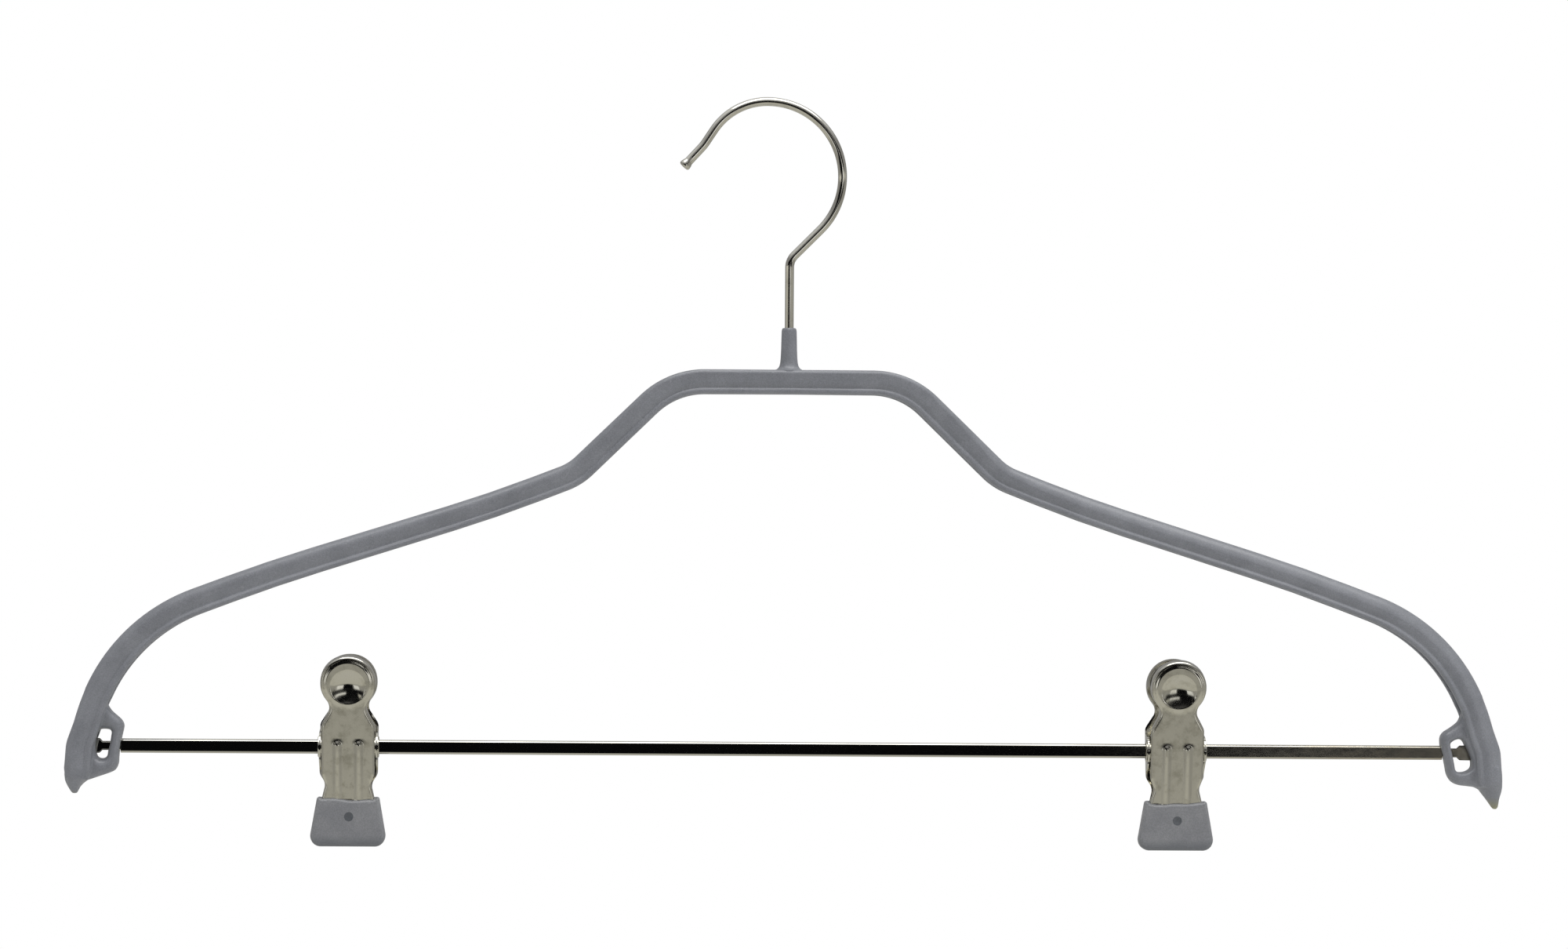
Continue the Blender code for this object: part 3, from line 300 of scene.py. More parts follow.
def evenly(points, spacing):
    """The same line with points no further apart than the spacing."""
    fine = [points[0]]
    for a, b in zip(points, points[1:]):
        count = max(1, math.ceil((b - a).length / spacing))
        fine += [a.lerp(b, k / count) for k in range(1, count + 1)]
    return fine


def line_normals(points, closed=False):
    """At each point the mitred normal to the left of the way, scaled to keep widths true."""
    normals = []
    count = len(points)
    for i, point in enumerate(points):
        before = (point - points[i - 1]).normalized() if i or closed else None
        after = None
        if closed or i + 1 < count:
            after = (points[(i + 1) % count] - point).normalized()
        before = before or after
        after = after or before
        sides = [Vector((-way.y, way.x)) for way in (before, after)]
        middle = (sides[0] + sides[1]).normalized()
        normals.append(middle / max(0.3, middle.dot(sides[0])))
    return normals


def arc(centre, radius, first, last, count):
    """Points of an arc about the centre, both its ends with them."""
    points = []
    for i in range(count + 1):
        angle = first + (last - first) * i / count
        points.append(
            Vector((centre[0] + radius * math.cos(angle), centre[1] + radius * math.sin(angle)))
        )
    return points


def circle(radius, count):
    """Places round a circle as (across, up)."""
    angles = [TURN * i / count for i in range(count)]
    return [(radius * math.cos(angle), radius * math.sin(angle)) for angle in angles]


def lattice(low, high, pitch):
    """Places of a square lattice between two corners."""
    places = []
    x = low[0]
    while x < high[0]:
        z = low[1]
        while z < high[1]:
            places.append((x, z))
            z += pitch
        x += pitch
    return places


def mixed(low, high, share):
    """The value that lies this share of the way from low to high."""
    return low + (high - low) * share


def eased(share):
    """0 to 1 with a soft start and end."""
    share = min(1.0, max(0.0, share))
    return share * share * (3.0 - 2.0 * share)


# Meshes


def finished(name, shape, sharp=40.0):
    """A smooth-shaded mesh from the shape, its edges sharp above the angle in degrees."""
    bmesh.ops.remove_doubles(shape, verts=shape.verts, dist=MERGE)
    bmesh.ops.recalc_face_normals(shape, faces=shape.faces)
    mesh = bpy.data.meshes.new(name)
    shape.to_mesh(mesh)
    shape.free()
    mesh.shade_smooth()
    mesh.set_sharp_from_angle(angle=math.radians(sharp))
    return mesh


def bridged(shape, loops):
    """Faces between each closed loop of vertices and the next."""
    for near, far in zip(loops, loops[1:]):
        for i in range(len(near)):
            j = (i + 1) % len(near)
            shape.faces.new((near[i], near[j], far[j], far[i]))


def skin(name, rings, sharp=40.0, caps=True):
    """A surface through rings of points, with a face over each end if it has caps."""
    shape = bmesh.new()
    loops = [[shape.verts.new(point) for point in ring] for ring in rings]
    bridged(shape, loops)
    if caps:
        shape.faces.new(loops[0])
        shape.faces.new(loops[-1])
    return finished(name, shape, sharp)


def filled(shape, outline, rim, points, carried):
    """Fill the outline, whose vertices are the rim, with faces that also use the points.

    The function carried takes a place of the flat outline into space. The result is a list of
    each new face with its middle.
    """
    count = len(outline)
    edges = [(i, (i + 1) % count) for i in range(count)]
    places, _, faces, origins, *_ = delaunay_2d_cdt(outline + points, edges, [], 0, FILL_TOLERANCE)
    verts = []
    for place, sources in zip(places, origins):
        known = [k for k in sources if k < count]
        verts.append(rim[known[0]] if known else shape.verts.new(carried(place)))
    border = [tuple(p) for p in outline]
    made = []
    for face in faces:
        middle = sum((places[i] for i in face), Vector((0.0, 0.0))) / len(face)
        corners = [verts[i] for i in face]
        if inside(middle, border) and len(set(corners)) == len(corners) and not shape.faces.get(corners):
            made.append((shape.faces.new(corners), middle))
    loose = [vert for vert in shape.verts if not vert.link_faces]
    bmesh.ops.delete(shape, geom=loose, context="VERTS")
    return made


def shown(name, mesh, material=None):
    """Put the mesh into the scene as an object, with its material if it is given one."""
    obj = bpy.data.objects.new(name, mesh)
    bpy.context.scene.collection.objects.link(obj)
    if material:
        obj.data.materials.clear()
        obj.data.materials.append(material)
    return obj


def plain_mesh(obj, name):
    """The object's evaluated shape as a mesh with no modifiers."""
    graph = bpy.context.evaluated_depsgraph_get()
    mesh = bpy.data.meshes.new_from_object(obj.evaluated_get(graph), depsgraph=graph)
    mesh.name = name
    bpy.data.objects.remove(obj, do_unlink=True)
    return mesh


def joined(name, meshes, sharp=None):
    """One mesh from several, shaded anew if it is given a sharp angle in degrees."""
    shape = bmesh.new()
    for mesh in meshes:
        shape.from_mesh(mesh)
    mesh = bpy.data.meshes.new(name)
    shape.to_mesh(mesh)
    shape.free()
    if sharp:
        mesh.shade_smooth()
        mesh.set_sharp_from_angle(angle=math.radians(sharp))
    return mesh


def placed(mesh, turn, place):
    """The mesh turned about the origin, then moved to its place."""
    mesh.transform(Matrix.Translation(place) @ turn)
    mesh.update()
    return mesh


# Node trees


def add_node(tree, kind, values=None, links=None, stops=None, **settings):
    """Add a node with its settings, its values, the sockets that feed it and any ramp stops."""
    made = tree.nodes.new(kind)
    for name, value in settings.items():
        setattr(made, name, value)
    for key, value in (values or {}).items():
        made.inputs[key].default_value = value
    for key, source in (links or {}).items():
        tree.links.new(source, made.inputs[key])
    for i, (place, code) in enumerate(stops or ()):
        band = made.color_ramp.elements
        element = band[i] if i < len(band) else band.new(1.0)
        element.position, element.color = place, hex_linear(code)
    return made


def hex_linear(code):
    """Linear colour of an sRGB hex colour."""
    values = []
    for i in (1, 3, 5):
        value = int(code[i : i + 2], 16) / 255.0
        values.append(value / 12.92 if value <= 0.04045 else ((value + 0.055) / 1.055) ** 2.4)
    return (*values, 1.0)


def new_material(name, **values):
    """A material whose one Principled shader has these values on its own sockets."""
    material = bpy.data.materials.new(name)
    material.use_nodes = True
    tree = material.node_tree
    shader = tree.nodes["Principled BSDF"]
    for key, value in values.items():
        shader.inputs[key.replace("_", " ")].default_value = value
    spot = add_node(tree, "ShaderNodeTexCoord").outputs["Object"]
    return material, tree, shader, spot


def surface(tree, shader, colour, amount, ranges, height, strength, depth):
    """Link the shader's colour, its gloss, which follows an amount, and its fine relief."""
    gloss = add_node(tree, "ShaderNodeMapRange", ranges, {"Value": amount})
    values = {"Strength": strength, "Distance": depth}
    bump = add_node(tree, "ShaderNodeBump", values, {"Height": height})
    tree.links.new(colour, shader.inputs["Base Color"])
    tree.links.new(gloss.outputs["Result"], shader.inputs["Roughness"])
    tree.links.new(bump.outputs["Normal"], shader.inputs["Normal"])


def dipped_vinyl(name, tone, cloudy, stained, lower=None):
    """Plasticised PVC, dipped hot and cured: a satin skin, finely speckled, cloudy where thick."""
    material, tree, shader, spot = new_material(name, Roughness=0.34, IOR=1.53)
    at = {"Vector": spot}
    values = {"Scale": 1 / (8 * MM), "Detail": 2.0}
    cloud = add_node(tree, "ShaderNodeTexNoise", values, at).outputs["Fac"]
    stops = ((0.36, cloudy), (0.62, tone))
    base = add_node(tree, "ShaderNodeValToRGB", None, {"Fac": cloud}, stops).outputs["Color"]
    # Pigment specks are about 0.05 mm; they are drawn 0.3 mm wide so that they show.
    values = {"Scale": 1 / (0.3 * MM), "Detail": 1.0}
    speck = add_node(tree, "ShaderNodeTexNoise", values, at).outputs["Fac"]
    stops = ((0.30, "#E2E2E3"), (0.72, "#FFFFFF"))
    shade = add_node(tree, "ShaderNodeValToRGB", None, {"Fac": speck}, stops).outputs["Color"]
    links = {6: base, 7: shade}
    colour = add_node(
        tree, "ShaderNodeMix", {0: 1.0}, links, data_type="RGBA", blend_type="MULTIPLY"
    ).outputs[2]
    # A few pale scuffs and dust marks 0.5 mm wide
    values = {"Scale": 1 / (1.3 * MM), "Detail": 5.0, "Roughness": 0.7}
    scuff = add_node(tree, "ShaderNodeTexNoise", values, at).outputs["Fac"]
    layers = [(scuff, {"From Min": 0.62, "From Max": 0.76, "To Max": 0.5}, stained)]
    # A different tone lower down, olive at the drips' tips and darker at the grip's foot: (where it
    # starts, where it is full, its tone)
    if lower:
        begins, full, code = lower
        high = add_node(tree, "ShaderNodeSeparateXYZ", links=at).outputs["Z"]
        layers.append((high, {"From Min": BAR_Z + begins, "From Max": BAR_Z + full}, code))
    for amount, ranges, code in layers:
        share = add_node(tree, "ShaderNodeMapRange", ranges, {"Value": amount}).outputs["Result"]
        links = {0: share, 6: colour}
        colour = add_node(
            tree, "ShaderNodeMix", {7: hex_linear(code)}, links, data_type="RGBA"
        ).outputs[2]
    # The orange peel of a dipped skin has waves about 1 mm long.
    values = {"Scale": 1 / (1.1 * MM), "Detail": 3.0}
    peel = add_node(tree, "ShaderNodeTexNoise", values, at).outputs["Fac"]
    ranges = {"From Min": 0.3, "From Max": 0.7, "To Min": 0.29, "To Max": 0.39}
    surface(tree, shader, colour, cloud, ranges, peel, 0.3, 0.03 * MM)
    return material


def plated_metal(name, tone, stain, rough, haze, stains, stretch, depth):
    """Nickel plate over steel: a warm white mirror, hazed and spotted by handling."""
    material, tree, shader, spot = new_material(name, Metallic=1.0, Roughness=rough)
    at = {"Vector": spot}
    values = {"Scale": 1 / (3.5 * MM), "Detail": 5.0, "Roughness": 0.62}
    cloud = add_node(tree, "ShaderNodeTexNoise", values, at).outputs["Fac"]
    ranges = {"From Min": 0.50, "From Max": 0.70, "To Max": stains}
    share = add_node(tree, "ShaderNodeMapRange", ranges, {"Value": cloud}).outputs["Result"]
    tones = {6: hex_linear(tone), 7: hex_linear(stain)}
    colour = add_node(tree, "ShaderNodeMix", tones, {0: share}, data_type="RGBA").outputs[2]
    # Rubbing marks are a few hundredths of a millimetre wide; they are drawn 0.3 mm wide.
    turned = add_node(tree, "ShaderNodeMapping", {"Scale": stretch}, at).outputs["Vector"]
    values = {"Scale": 1 / (0.6 * MM), "Detail": 3.0}
    rub = add_node(tree, "ShaderNodeTexNoise", values, {"Vector": turned}).outputs["Fac"]
    ranges = {"From Min": 0.35, "From Max": 0.72, "To Min": rough * 0.8, "To Max": rough + haze}
    surface(tree, shader, colour, cloud, ranges, rub, 0.2, depth)
    return material


def polished_bar():
    """Nickel-plated flat bar, drawn and polished: a dark mirror that dulls at the right, where a brown
    mottled tint is painted in as reflection.
    """
    material, tree, shader, spot = new_material("polished_plated_bar", Metallic=1.0, Roughness=0.08)
    at = {"Vector": spot}
    along = add_node(tree, "ShaderNodeSeparateXYZ", links=at).outputs["X"]
    ranges = {"From Min": 85 * MM, "From Max": 170 * MM}
    right_end_share = add_node(tree, "ShaderNodeMapRange", ranges, {"Value": along}).outputs["Result"]
    turned = add_node(tree, "ShaderNodeMapping", {"Scale": (0.4, 1.0, 1.0)}, at).outputs["Vector"]
    values = {"Scale": 1 / (1.4 * MM), "Detail": 5.0, "Roughness": 0.65}
    mottle = add_node(tree, "ShaderNodeTexNoise", values, {"Vector": turned}).outputs["Fac"]
    links = {0: right_end_share, 1: mottle}
    dull_and_painted_reflection = add_node(tree, "ShaderNodeMath", None, links, operation="MULTIPLY").outputs[0]
    # The brown tint towards the right end is painted reflection; the same share also raises the
    # roughness there
    tones = {6: hex_linear("#C8C6BC"), 7: hex_linear("#A09580")}
    colour = add_node(tree, "ShaderNodeMix", tones, {0: dull_and_painted_reflection}, data_type="RGBA").outputs[2]
    # Drawing lines run along the bar; real ones are 0.05 mm apart, these 0.3 mm.
    drawn = add_node(tree, "ShaderNodeMapping", {"Scale": (0.03, 1.0, 1.0)}, at).outputs["Vector"]
    values = {"Scale": 1 / (0.3 * MM), "Detail": 2.0}
    lines = add_node(tree, "ShaderNodeTexNoise", values, {"Vector": drawn}).outputs["Fac"]
    ranges = {"From Max": 0.6, "To Min": 0.06, "To Max": 0.25}
    surface(tree, shader, colour, dull_and_painted_reflection, ranges, lines, 0.1, 0.004 * MM)
    return material


def rolled_steel(name, tone, rough, size):
    """Bare low-carbon steel, cold rolled or drawn: grey, with faint lines and a matt haze."""
    material, tree, shader, spot = new_material(name, Metallic=1.0, Roughness=rough)
    values = {"Scale": (0.2, 1.0, 1.0)}
    turned = add_node(tree, "ShaderNodeMapping", values, {"Vector": spot}).outputs["Vector"]
    values = {"Scale": 1 / size, "Detail": 4.0}
    haze = add_node(tree, "ShaderNodeTexNoise", values, {"Vector": turned}).outputs["Fac"]
    tones = {6: hex_linear(tone), 7: hex_linear("#6E6C68")}
    colour = add_node(tree, "ShaderNodeMix", tones, {0: haze}, data_type="RGBA").outputs[2]
    ranges = {"From Min": 0.3, "From Max": 0.7, "To Min": rough - 0.07, "To Max": rough + 0.09}
    surface(tree, shader, colour, haze, ranges, haze, 0.1, 0.01 * MM)
    return material


# Shoulder frame


def from_toe(shares, size):
    """Corners given as shares of a size, inwards from the toe and up from the bar."""
    return [(HALF_SPAN - inwards * size, up * size, bend * size) for inwards, up, bend in shares]


def roof_line(step, spacing):
    """The whole roof line from the left toe to the right toe."""
    corners = []
    for across, up, radius in ARM_LINE:
        corners.append((across * HALF_SPAN, up * CROSSBAR_UP, radius * HALF_SPAN))
    corners += from_toe(ARM_END, ARM_END_UP)
    half = bent_line((0.0, CROSSBAR_UP), corners, (HALF_SPAN, -TOE_DROP), step)
    half = evenly(half, spacing)
    return [Vector((-point.x, point.y)) for point in reversed(half[1:])] + half


def channel_section(x, z):
    """Dipped channel: rounded roof, a face with a waist, a bead round the open lip.

    Along the right arm the roof meets the face in a ridge; along the left arm it rolls over softly.
    """
    height = mixed(CROSSBAR_HEIGHT, END_HEIGHT, min(1.0, abs(x) / HALF_SPAN))
    arm = eased((abs(x) - 40 * MM) / (40 * MM))
    low = eased((32 * MM - z) / (32 * MM))
    ridge = mixed(0.15, mixed(0.42, 0.50, low) if x > 0 else 0.32, arm) * height
    kink = math.radians(mixed(20.0, 27.0 if x > 0 else 4.0, arm))
    left = arm if x < 0 else 0.0
    form = 1.0 - eased((BEAD_FADE[0] - z) / (BEAD_FADE[0] - BEAD_FADE[1]))
    across = min(ROOF_RADIUS, ridge)
    side = [(0.0, 0.0), (HALF_DEPTH - across, 0.0)]
    for k in range(1, ROOF_STEPS + 1):
        angle = mixed(math.pi / 2, kink, k / ROOF_STEPS)
        out = ridge * (math.sin(angle) - math.sin(kink)) / (1 - math.sin(kink)) - ridge
        side.append((HALF_DEPTH - across + across * math.cos(angle) / math.cos(kink), out))
    side.append((HALF_DEPTH, -ridge - 0.14 * MM))
    for share, plain, soft in WAIST:
        if height * share < ridge + 0.35 * MM:
            share, plain, soft = (ridge + (0.2 + 0.5 * (share - 0.5)) * MM) / height, 0.0, 0.0
        side.append((HALF_DEPTH + form * mixed(plain, soft, left) * MM, -height * share))
    centre = (HALF_DEPTH + 0.22 * MM * form - BEAD_RADIUS, BEAD_RADIUS - height)
    side += [tuple(p) for p in arc(centre, BEAD_RADIUS, 0.45, -math.pi / 2, 7)]
    inner = HALF_DEPTH - COAT_WALL
    lip = (inner + LIP_RADIUS, LIP_RADIUS - height)
    side += [tuple(p) for p in arc(lip, LIP_RADIUS, -math.pi / 2, -math.pi, 4)]
    side += [(inner, -ROOF_RADIUS), (inner - 0.8 * MM, -COAT_WALL - 0.2 * MM), (0.0, -COAT_WALL)]
    return side + [(-depth, out) for depth, out in reversed(side[1:-1])]


def channel_rings(points, shrink):
    """Rings of the section along the roof line; shrink gives how far a ring lies inside it."""
    rings = []
    for point, normal in zip(points, line_normals(points)):
        drawn_in = shrink(point.y)
        ring = []
        for depth, out in channel_section(point.x, point.y):
            place = point + normal * (out - math.copysign(drawn_in, out + 3.5 * MM))
            ring.append((place.x, depth - math.copysign(drawn_in, depth) * (abs(depth) > MM), place.y))
        rings.append(ring)
    return rings


def channel_mesh(name):
    """The dipped channel, down to where the end pieces take over."""
    points = [p for p in roof_line(math.radians(2.5), 4 * MM) if p.y > END_FROM or abs(p.x) < 0.1]
    return skin(name, channel_rings(points, lambda high: 0.0), 50.0)


def smoothed(loop):
    """A rounder closed outline through the same points, four times as many."""
    fine = []
    count = len(loop)
    for i in range(count):
        a, b, c, d = (Vector(loop[(i + k) % count]) for k in (-1, 0, 1, 2))
        for k in range(4):
            t = k / 4
            near = b * 2 + (c - a) * t
            far = (a * 2 - b * 5 + c * 4 - d) * t * t + (b * 3 - a - c * 3 + d) * t * t * t
            fine.append((near + far) * 0.5)
    return fine


def grown(loop, amount):
    """The outline moved outwards by the amount."""
    area = sum(a.x * b.y - b.x * a.y for a, b in zip(loop, loop[1:] + loop[:1]))
    way = -1.0 if area > 0 else 1.0
    return [p + n * (amount * way) for p, n in zip(loop, line_normals(loop, closed=True))]


def by_angle(loop, centre, count):
    """The outline seen from a point inside it, at evenly turned angles."""
    found = []
    for k in range(count):
        way = Vector((math.cos(TURN * k / count), math.sin(TURN * k / count)))
        best = 0.0
        for a, b in zip(loop, loop[1:] + loop[:1]):
            a, b = a - centre, b - centre
            across = way.x * (b.y - a.y) - way.y * (b.x - a.x)
            if abs(across) > 1e-12:
                reach = (a.x * (b.y - a.y) - a.y * (b.x - a.x)) / across
                share = (a.x * way.y - a.y * way.x) / across
                if reach > best and -0.001 <= share <= 1.001:
                    best = reach
        found.append(centre + way * best)
    return found


def bracket_outlines(side):
    """A bracket's outline, its window and the window's middle."""
    loops = []
    for table in (WEBS, WINDOWS):
        loops.append(smoothed([Vector((side * x * MM, z * MM)) for x, z in table[side]]))
    return *loops, sum(loops[1], Vector((0.0, 0.0))) / len(loops[1])


def web_mesh(name, side):
    """The bracket under its vinyl: a plate with rounded edges and a window with a flared mouth."""
    outline, window, centre = bracket_outlines(side)
    outer, inner = [], []
    for sign in (-1, 1):
        layers = ROUNDING[side][1:][::-1] if sign < 0 else ROUNDING[side]
        for depth, drawn_in, opened in layers:
            for loops, loop, amount in ((outer, outline, -drawn_in), (inner, window, opened)):
                places = by_angle(grown(loop, amount * MM), centre, BRACKET_SIDES)
                loops.append([(q.x, sign * depth * MM, q.y) for q in places])
    rings = outer + inner[::-1]
    return skin(name, rings + rings[:1], 30.0, caps=False)


def bracket_mesh(name, side):
    """The bent steel strip under the vinyl, midway between the bracket's outline and its window."""
    outline, window, centre = bracket_outlines(side)
    edge, deep = STRIP_BEVEL, STRIP_HALF_DEPTH
    layers = ((-deep, edge), (edge - deep, 0.0), (deep - edge, 0.0), (deep, edge))
    rings = []
    for loop, cover, way in ((outline, STRIP_COVER[0], -1), (window, STRIP_COVER[1], 1)):
        loop = by_angle(grown(loop, way * cover), centre, BRACKET_SIDES)
        for depth, back in layers[::-way]:
            places = by_angle(grown(loop, way * back), centre, BRACKET_SIDES)
            rings.append([(q.x, depth, q.y) for q in places])
    return skin(name, rings + rings[:1], 30.0, caps=False)


def drip_rings(side):
    """The last drop of the dip, squarish where it leaves the channel and round at its tip."""
    rings = []
    for i, (up, outer, inner, half) in enumerate(DRIPS[side]):
        power = mixed(0.45, 1.0, min(1.0, i / 5))
        ring = []
        for place in circle(1.0, 32):
            shares = [math.copysign(abs(share) ** power, share) for share in place]
            across = (outer + inner) / 2 + (outer - inner) / 2 * shares[0]
            ring.append((side * across * MM, half * MM * shares[1], up * MM))
        rings.append(ring)
    return rings


def toe_shrink(high):
    """How far the end piece lies inside the arm.

    It is sunk above the seam, a little proud at it and drawn in at the toe.
    """
    sunk = mixed(-0.09, 0.12, eased((high - END_FROM) / (3.0 * MM)))
    toe = 0.5 * eased((-6.0 * MM - high) / (3.4 * MM))
    proud = 0.06 * eased((END_FROM - high) / (6 * MM))
    return (sunk + proud + toe) * MM


def end_mesh(name, side):
    """Channel end, web, window and drip of one side, run together as the dip leaves them."""
    arm = [p for p in roof_line(math.radians(2.5), 1.5 * MM) if p.x * side > 0 and p.y < 22 * MM]
    parts = [
        skin(name + "_arm", channel_rings(arm, toe_shrink)),
        web_mesh(name + "_web", side),
        skin(name + "_drip", drip_rings(side)),
    ]
    body = shown(name, joined(name, parts))
    skinned = body.modifiers.new("one_skin", "REMESH")
    skinned.mode = "VOXEL"
    skinned.voxel_size = END_VOXEL
    settled = body.modifiers.new("surface_tension", "SMOOTH")
    settled.factor = 0.5
    settled.iterations = 5
    mesh = plain_mesh(body, name)
    mesh.shade_smooth()
    return mesh


def stub_mesh(name):
    """The dipped stub round the sleeve, its foot run out over the roof."""
    rings = []
    for radius, up in STUB_PROFILE:
        rings.append([(x, y, CROSSBAR_UP + up * MM) for x, y in circle(radius * MM, 48)])
    return skin(name, rings + rings[:1], 60.0, caps=False)


# Wire along a path


def wire_tree(name):
    """Geometry nodes: a round wire along a line, as thick as the line's own radius."""
    tree = bpy.data.node_groups.new(name, "GeometryNodeTree")
    for label, way, kind in (
        ("Line", "INPUT", "Geometry"),
        ("Wire radius", "INPUT", "Float"),
        ("Sides", "INPUT", "Int"),
        ("Finish", "INPUT", "Material"),
        ("Wire", "OUTPUT", "Geometry"),
    ):
        tree.interface.new_socket(label, in_out=way, socket_type="NodeSocket" + kind)
    given = add_node(tree, "NodeGroupInput").outputs
    links = {"Resolution": given["Sides"], "Radius": given["Wire radius"]}
    ring = add_node(tree, "GeometryNodeCurvePrimitiveCircle", links=links)
    links = {"Curve": given["Line"], "Profile Curve": ring.outputs["Curve"]}
    tube = add_node(tree, "GeometryNodeCurveToMesh", {"Fill Caps": True}, links)
    if "Scale" in tube.inputs:
        width = add_node(tree, "GeometryNodeInputRadius")
        tree.links.new(width.outputs["Radius"], tube.inputs["Scale"])
    links = {"Geometry": tube.outputs["Mesh"]}
    smooth = add_node(tree, "GeometryNodeSetShadeSmooth", links=links)
    real = add_node(tree, "GeometryNodeRealizeInstances", links={"Geometry": smooth.outputs[0]})
    links = {"Geometry": real.outputs[0], "Material": given["Finish"]}
    made = add_node(tree, "GeometryNodeSetMaterial", links=links)
    add_node(tree, "NodeGroupOutput", links={"Wire": made.outputs[0]})
    return tree


def wire_mesh(name, tree, line, radius, sides, material):
    """Run the wire tree along (place, width share) points."""
    curve = bpy.data.curves.new(name, "CURVE")
    curve.dimensions = "3D"
    spline = curve.splines.new("POLY")
    spline.points.add(len(line) - 1)
    for point, (place, share) in zip(spline.points, line):
        point.co = (*place, 1.0)
        point.radius = share
    path = bpy.data.objects.new(name, curve)
    bpy.context.scene.collection.objects.link(path)
    modifier = path.modifiers.new("wire", "NODES")
    modifier.node_group = tree
    given = {"Wire radius": radius, "Sides": sides, "Finish": material}
    for item in tree.interface.items_tree:
        if item.name in given and item.in_out == "INPUT":
            modifier[item.identifier] = given[item.name]
    return plain_mesh(path, name)


def hook_line():
    """The hook's line with its width: headed foot, plain wire, blunt upset tip."""
    corners = []
    for across, up, radius in HOOK_LINE:
        corners.append((across * HOOK_LOOP, BEND_UP + up * HOOK_LOOP, radius * HOOK_LOOP))
    end = corners.pop()[:2]
    start = CROSSBAR_UP - HOOK_FOOT_DROP
    points = evenly(bent_line((0.0, start), corners, end, math.radians(3)), 1.5 * MM)
    tip = points[-1]
    way = (tip - points[-2]).normalized()
    points = [p for p in points if (tip - p).length > 2.6 * MM]
    line = [(Vector((0, start + up * MM)), share) for up, share in HOOK_FOOT]
    line += [(p, 1.0) for p in points[1:]]
    line += [(tip - way * back * MM, share) for back, share in HOOK_TIP]
    return [(SEAT + Vector((p.x, 0.0, p.y)), share) for p, share in line]


def spring_line(place):
    """Front leg, five and a half close turns and rear leg of the torsion spring."""
    first = math.pi + TILT
    last = TURN * SPRING_TURNS - TILT
    wound = (last - first) / TURN
    half = SPRING_PITCH * wound / 2
    count = round(wound * 28)
    coil = []
    for i in range(count + 1):
        angle = mixed(first, last, i / count)
        across = mixed(-half, half, i / count)
        coil.append(Vector((across, SPRING_RADIUS * math.cos(angle), SPRING_RADIUS * math.sin(angle))))
    legs = []
    for end, lean in ((coil[0], -1), (coil[-1], 1)):
        way = Vector((0.0, lean * math.sin(TILT), math.cos(TILT)))
        legs.append([end + way * reach for reach in (SPRING_LEG, SPRING_LEG / 2, SPRING_WIRE)])
    return [(place + p, 1.0) for p in legs[0] + coil + legs[1][::-1]]


# Clip bar


def bar_mesh(name):
    """Flat bar with bevelled edges, necked through each bracket and headed beyond it."""
    sections = [(x, *BAR_SECTION) for x in (-140.0, -90.0, -45.0, 0.0, 45.0, 90.0, 140.0)]
    for side, *places in BAR_ENDS:
        end = [(side * (places[i] + on), *rest) for i, on, *rest in BAR_END_SECTIONS]
        sections = sections + end if side > 0 else end[::-1] + sections
    rings = []
    for x, height, depth, bevel in sections:
        half, deep, bevel = height / 2 * MM, depth / 2 * MM, bevel * MM
        fine = bevel * 0.16
        # The two points beside each flat lie in it, so that it shades flat
        quarter = [
            (deep, half - bevel - 2 * fine),
            (deep, half - bevel - fine),
            (deep - fine * 0.3, half - bevel),
            (deep - bevel * 0.35, half - bevel * 0.65),
            (deep - bevel * 0.65, half - bevel * 0.35),
            (deep - bevel, half - fine * 0.3),
            (deep - bevel - fine, half),
            (deep - bevel - 2 * fine, half),
        ]
        ring = list(quarter)
        ring += [(-y, z) for y, z in reversed(quarter)]
        ring += [(-y, -z) for y, z in quarter]
        ring += [(y, -z) for y, z in reversed(quarter)]
        rings.append([(AXIS_X + x * MM, y, BAR_Z + z) for y, z in ring])
    return skin(name, rings, 38.0)


# Clips


def lower_bend():
    """Along the plate, the place where it turns upright into the grip."""
    return (1.45 * MM - PLATE_MIDDLE * math.cos(TILT)) / math.sin(TILT)


def silhouette(front):
    """Half the plate's face, from the head's top round the side to its foot in the grip."""
    out = EAR_OUT[0 if front else 1]
    top, turn = HEAD_UP + HEAD_RADIUS, HEAD_RADIUS * 0.98
    corners = (
        (HEAD_RADIUS, top, turn),
        (HEAD_RADIUS, HEAD_UP - HEAD_RADIUS * 0.344, turn),
        NECK,
        (out, *SHOULDER),
        (out, *FLANK),
        JAW,
    )
    upper = bent_line((0.0, top), corners, FOOT, math.radians(5))
    foot = bent_line(FOOT, (FOOT_CORNER,), (0.0, FOOT_CORNER[1]), 0.3)
    return evenly(upper, 0.9 * MM) + evenly(foot[1:], 1.2 * MM)


def relief(across, along):
    """How far the stamping stands out of the plate's face: a disc, its thumb dish and two ribs."""
    off = math.hypot(across, along - HEAD_UP)
    rise = DISC_RISE * (1 - eased((off - DISC_RADIUS) / DISC_STEP))
    off = math.hypot(across, along - DISH_UP) / DISH_RADIUS
    if off < 1:
        high = (along - DISH_UP) / DISH_RADIUS
        rise -= DISH_DEPTH * (1 - off * off) ** (1 + 0.7 * max(0.0, high)) * (1 + 0.3 * high)
    above = max(0.0, along - RIB_BASE) / RIB_STRETCH
    off = math.hypot(abs(across) - RIB_APART, above) / RIB_HALF
    if off < 1:
        fade = mixed(1.0, 0.55, min(1.0, max(0.0, -along / (14 * MM))))
        rise += RIB_RISE * fade * (0.5 + 0.5 * math.cos(math.pi * off)) ** 0.8
    return rise


def rim_at(along):
    """Roll radius and skirt of the plate's edge: deep round the head, shallow at the ears and foot."""
    along /= MM
    for (low, rim, skirt), (high, next_rim, next_skirt) in zip(RIMS, RIMS[1:]):
        if along <= high:
            share = max(0.0, (along - low) / (high - low))
            return mixed(rim, next_rim, share) * MM, mixed(skirt, next_skirt, share) * MM
    return RIMS[-1][1] * MM, RIMS[-1][2] * MM


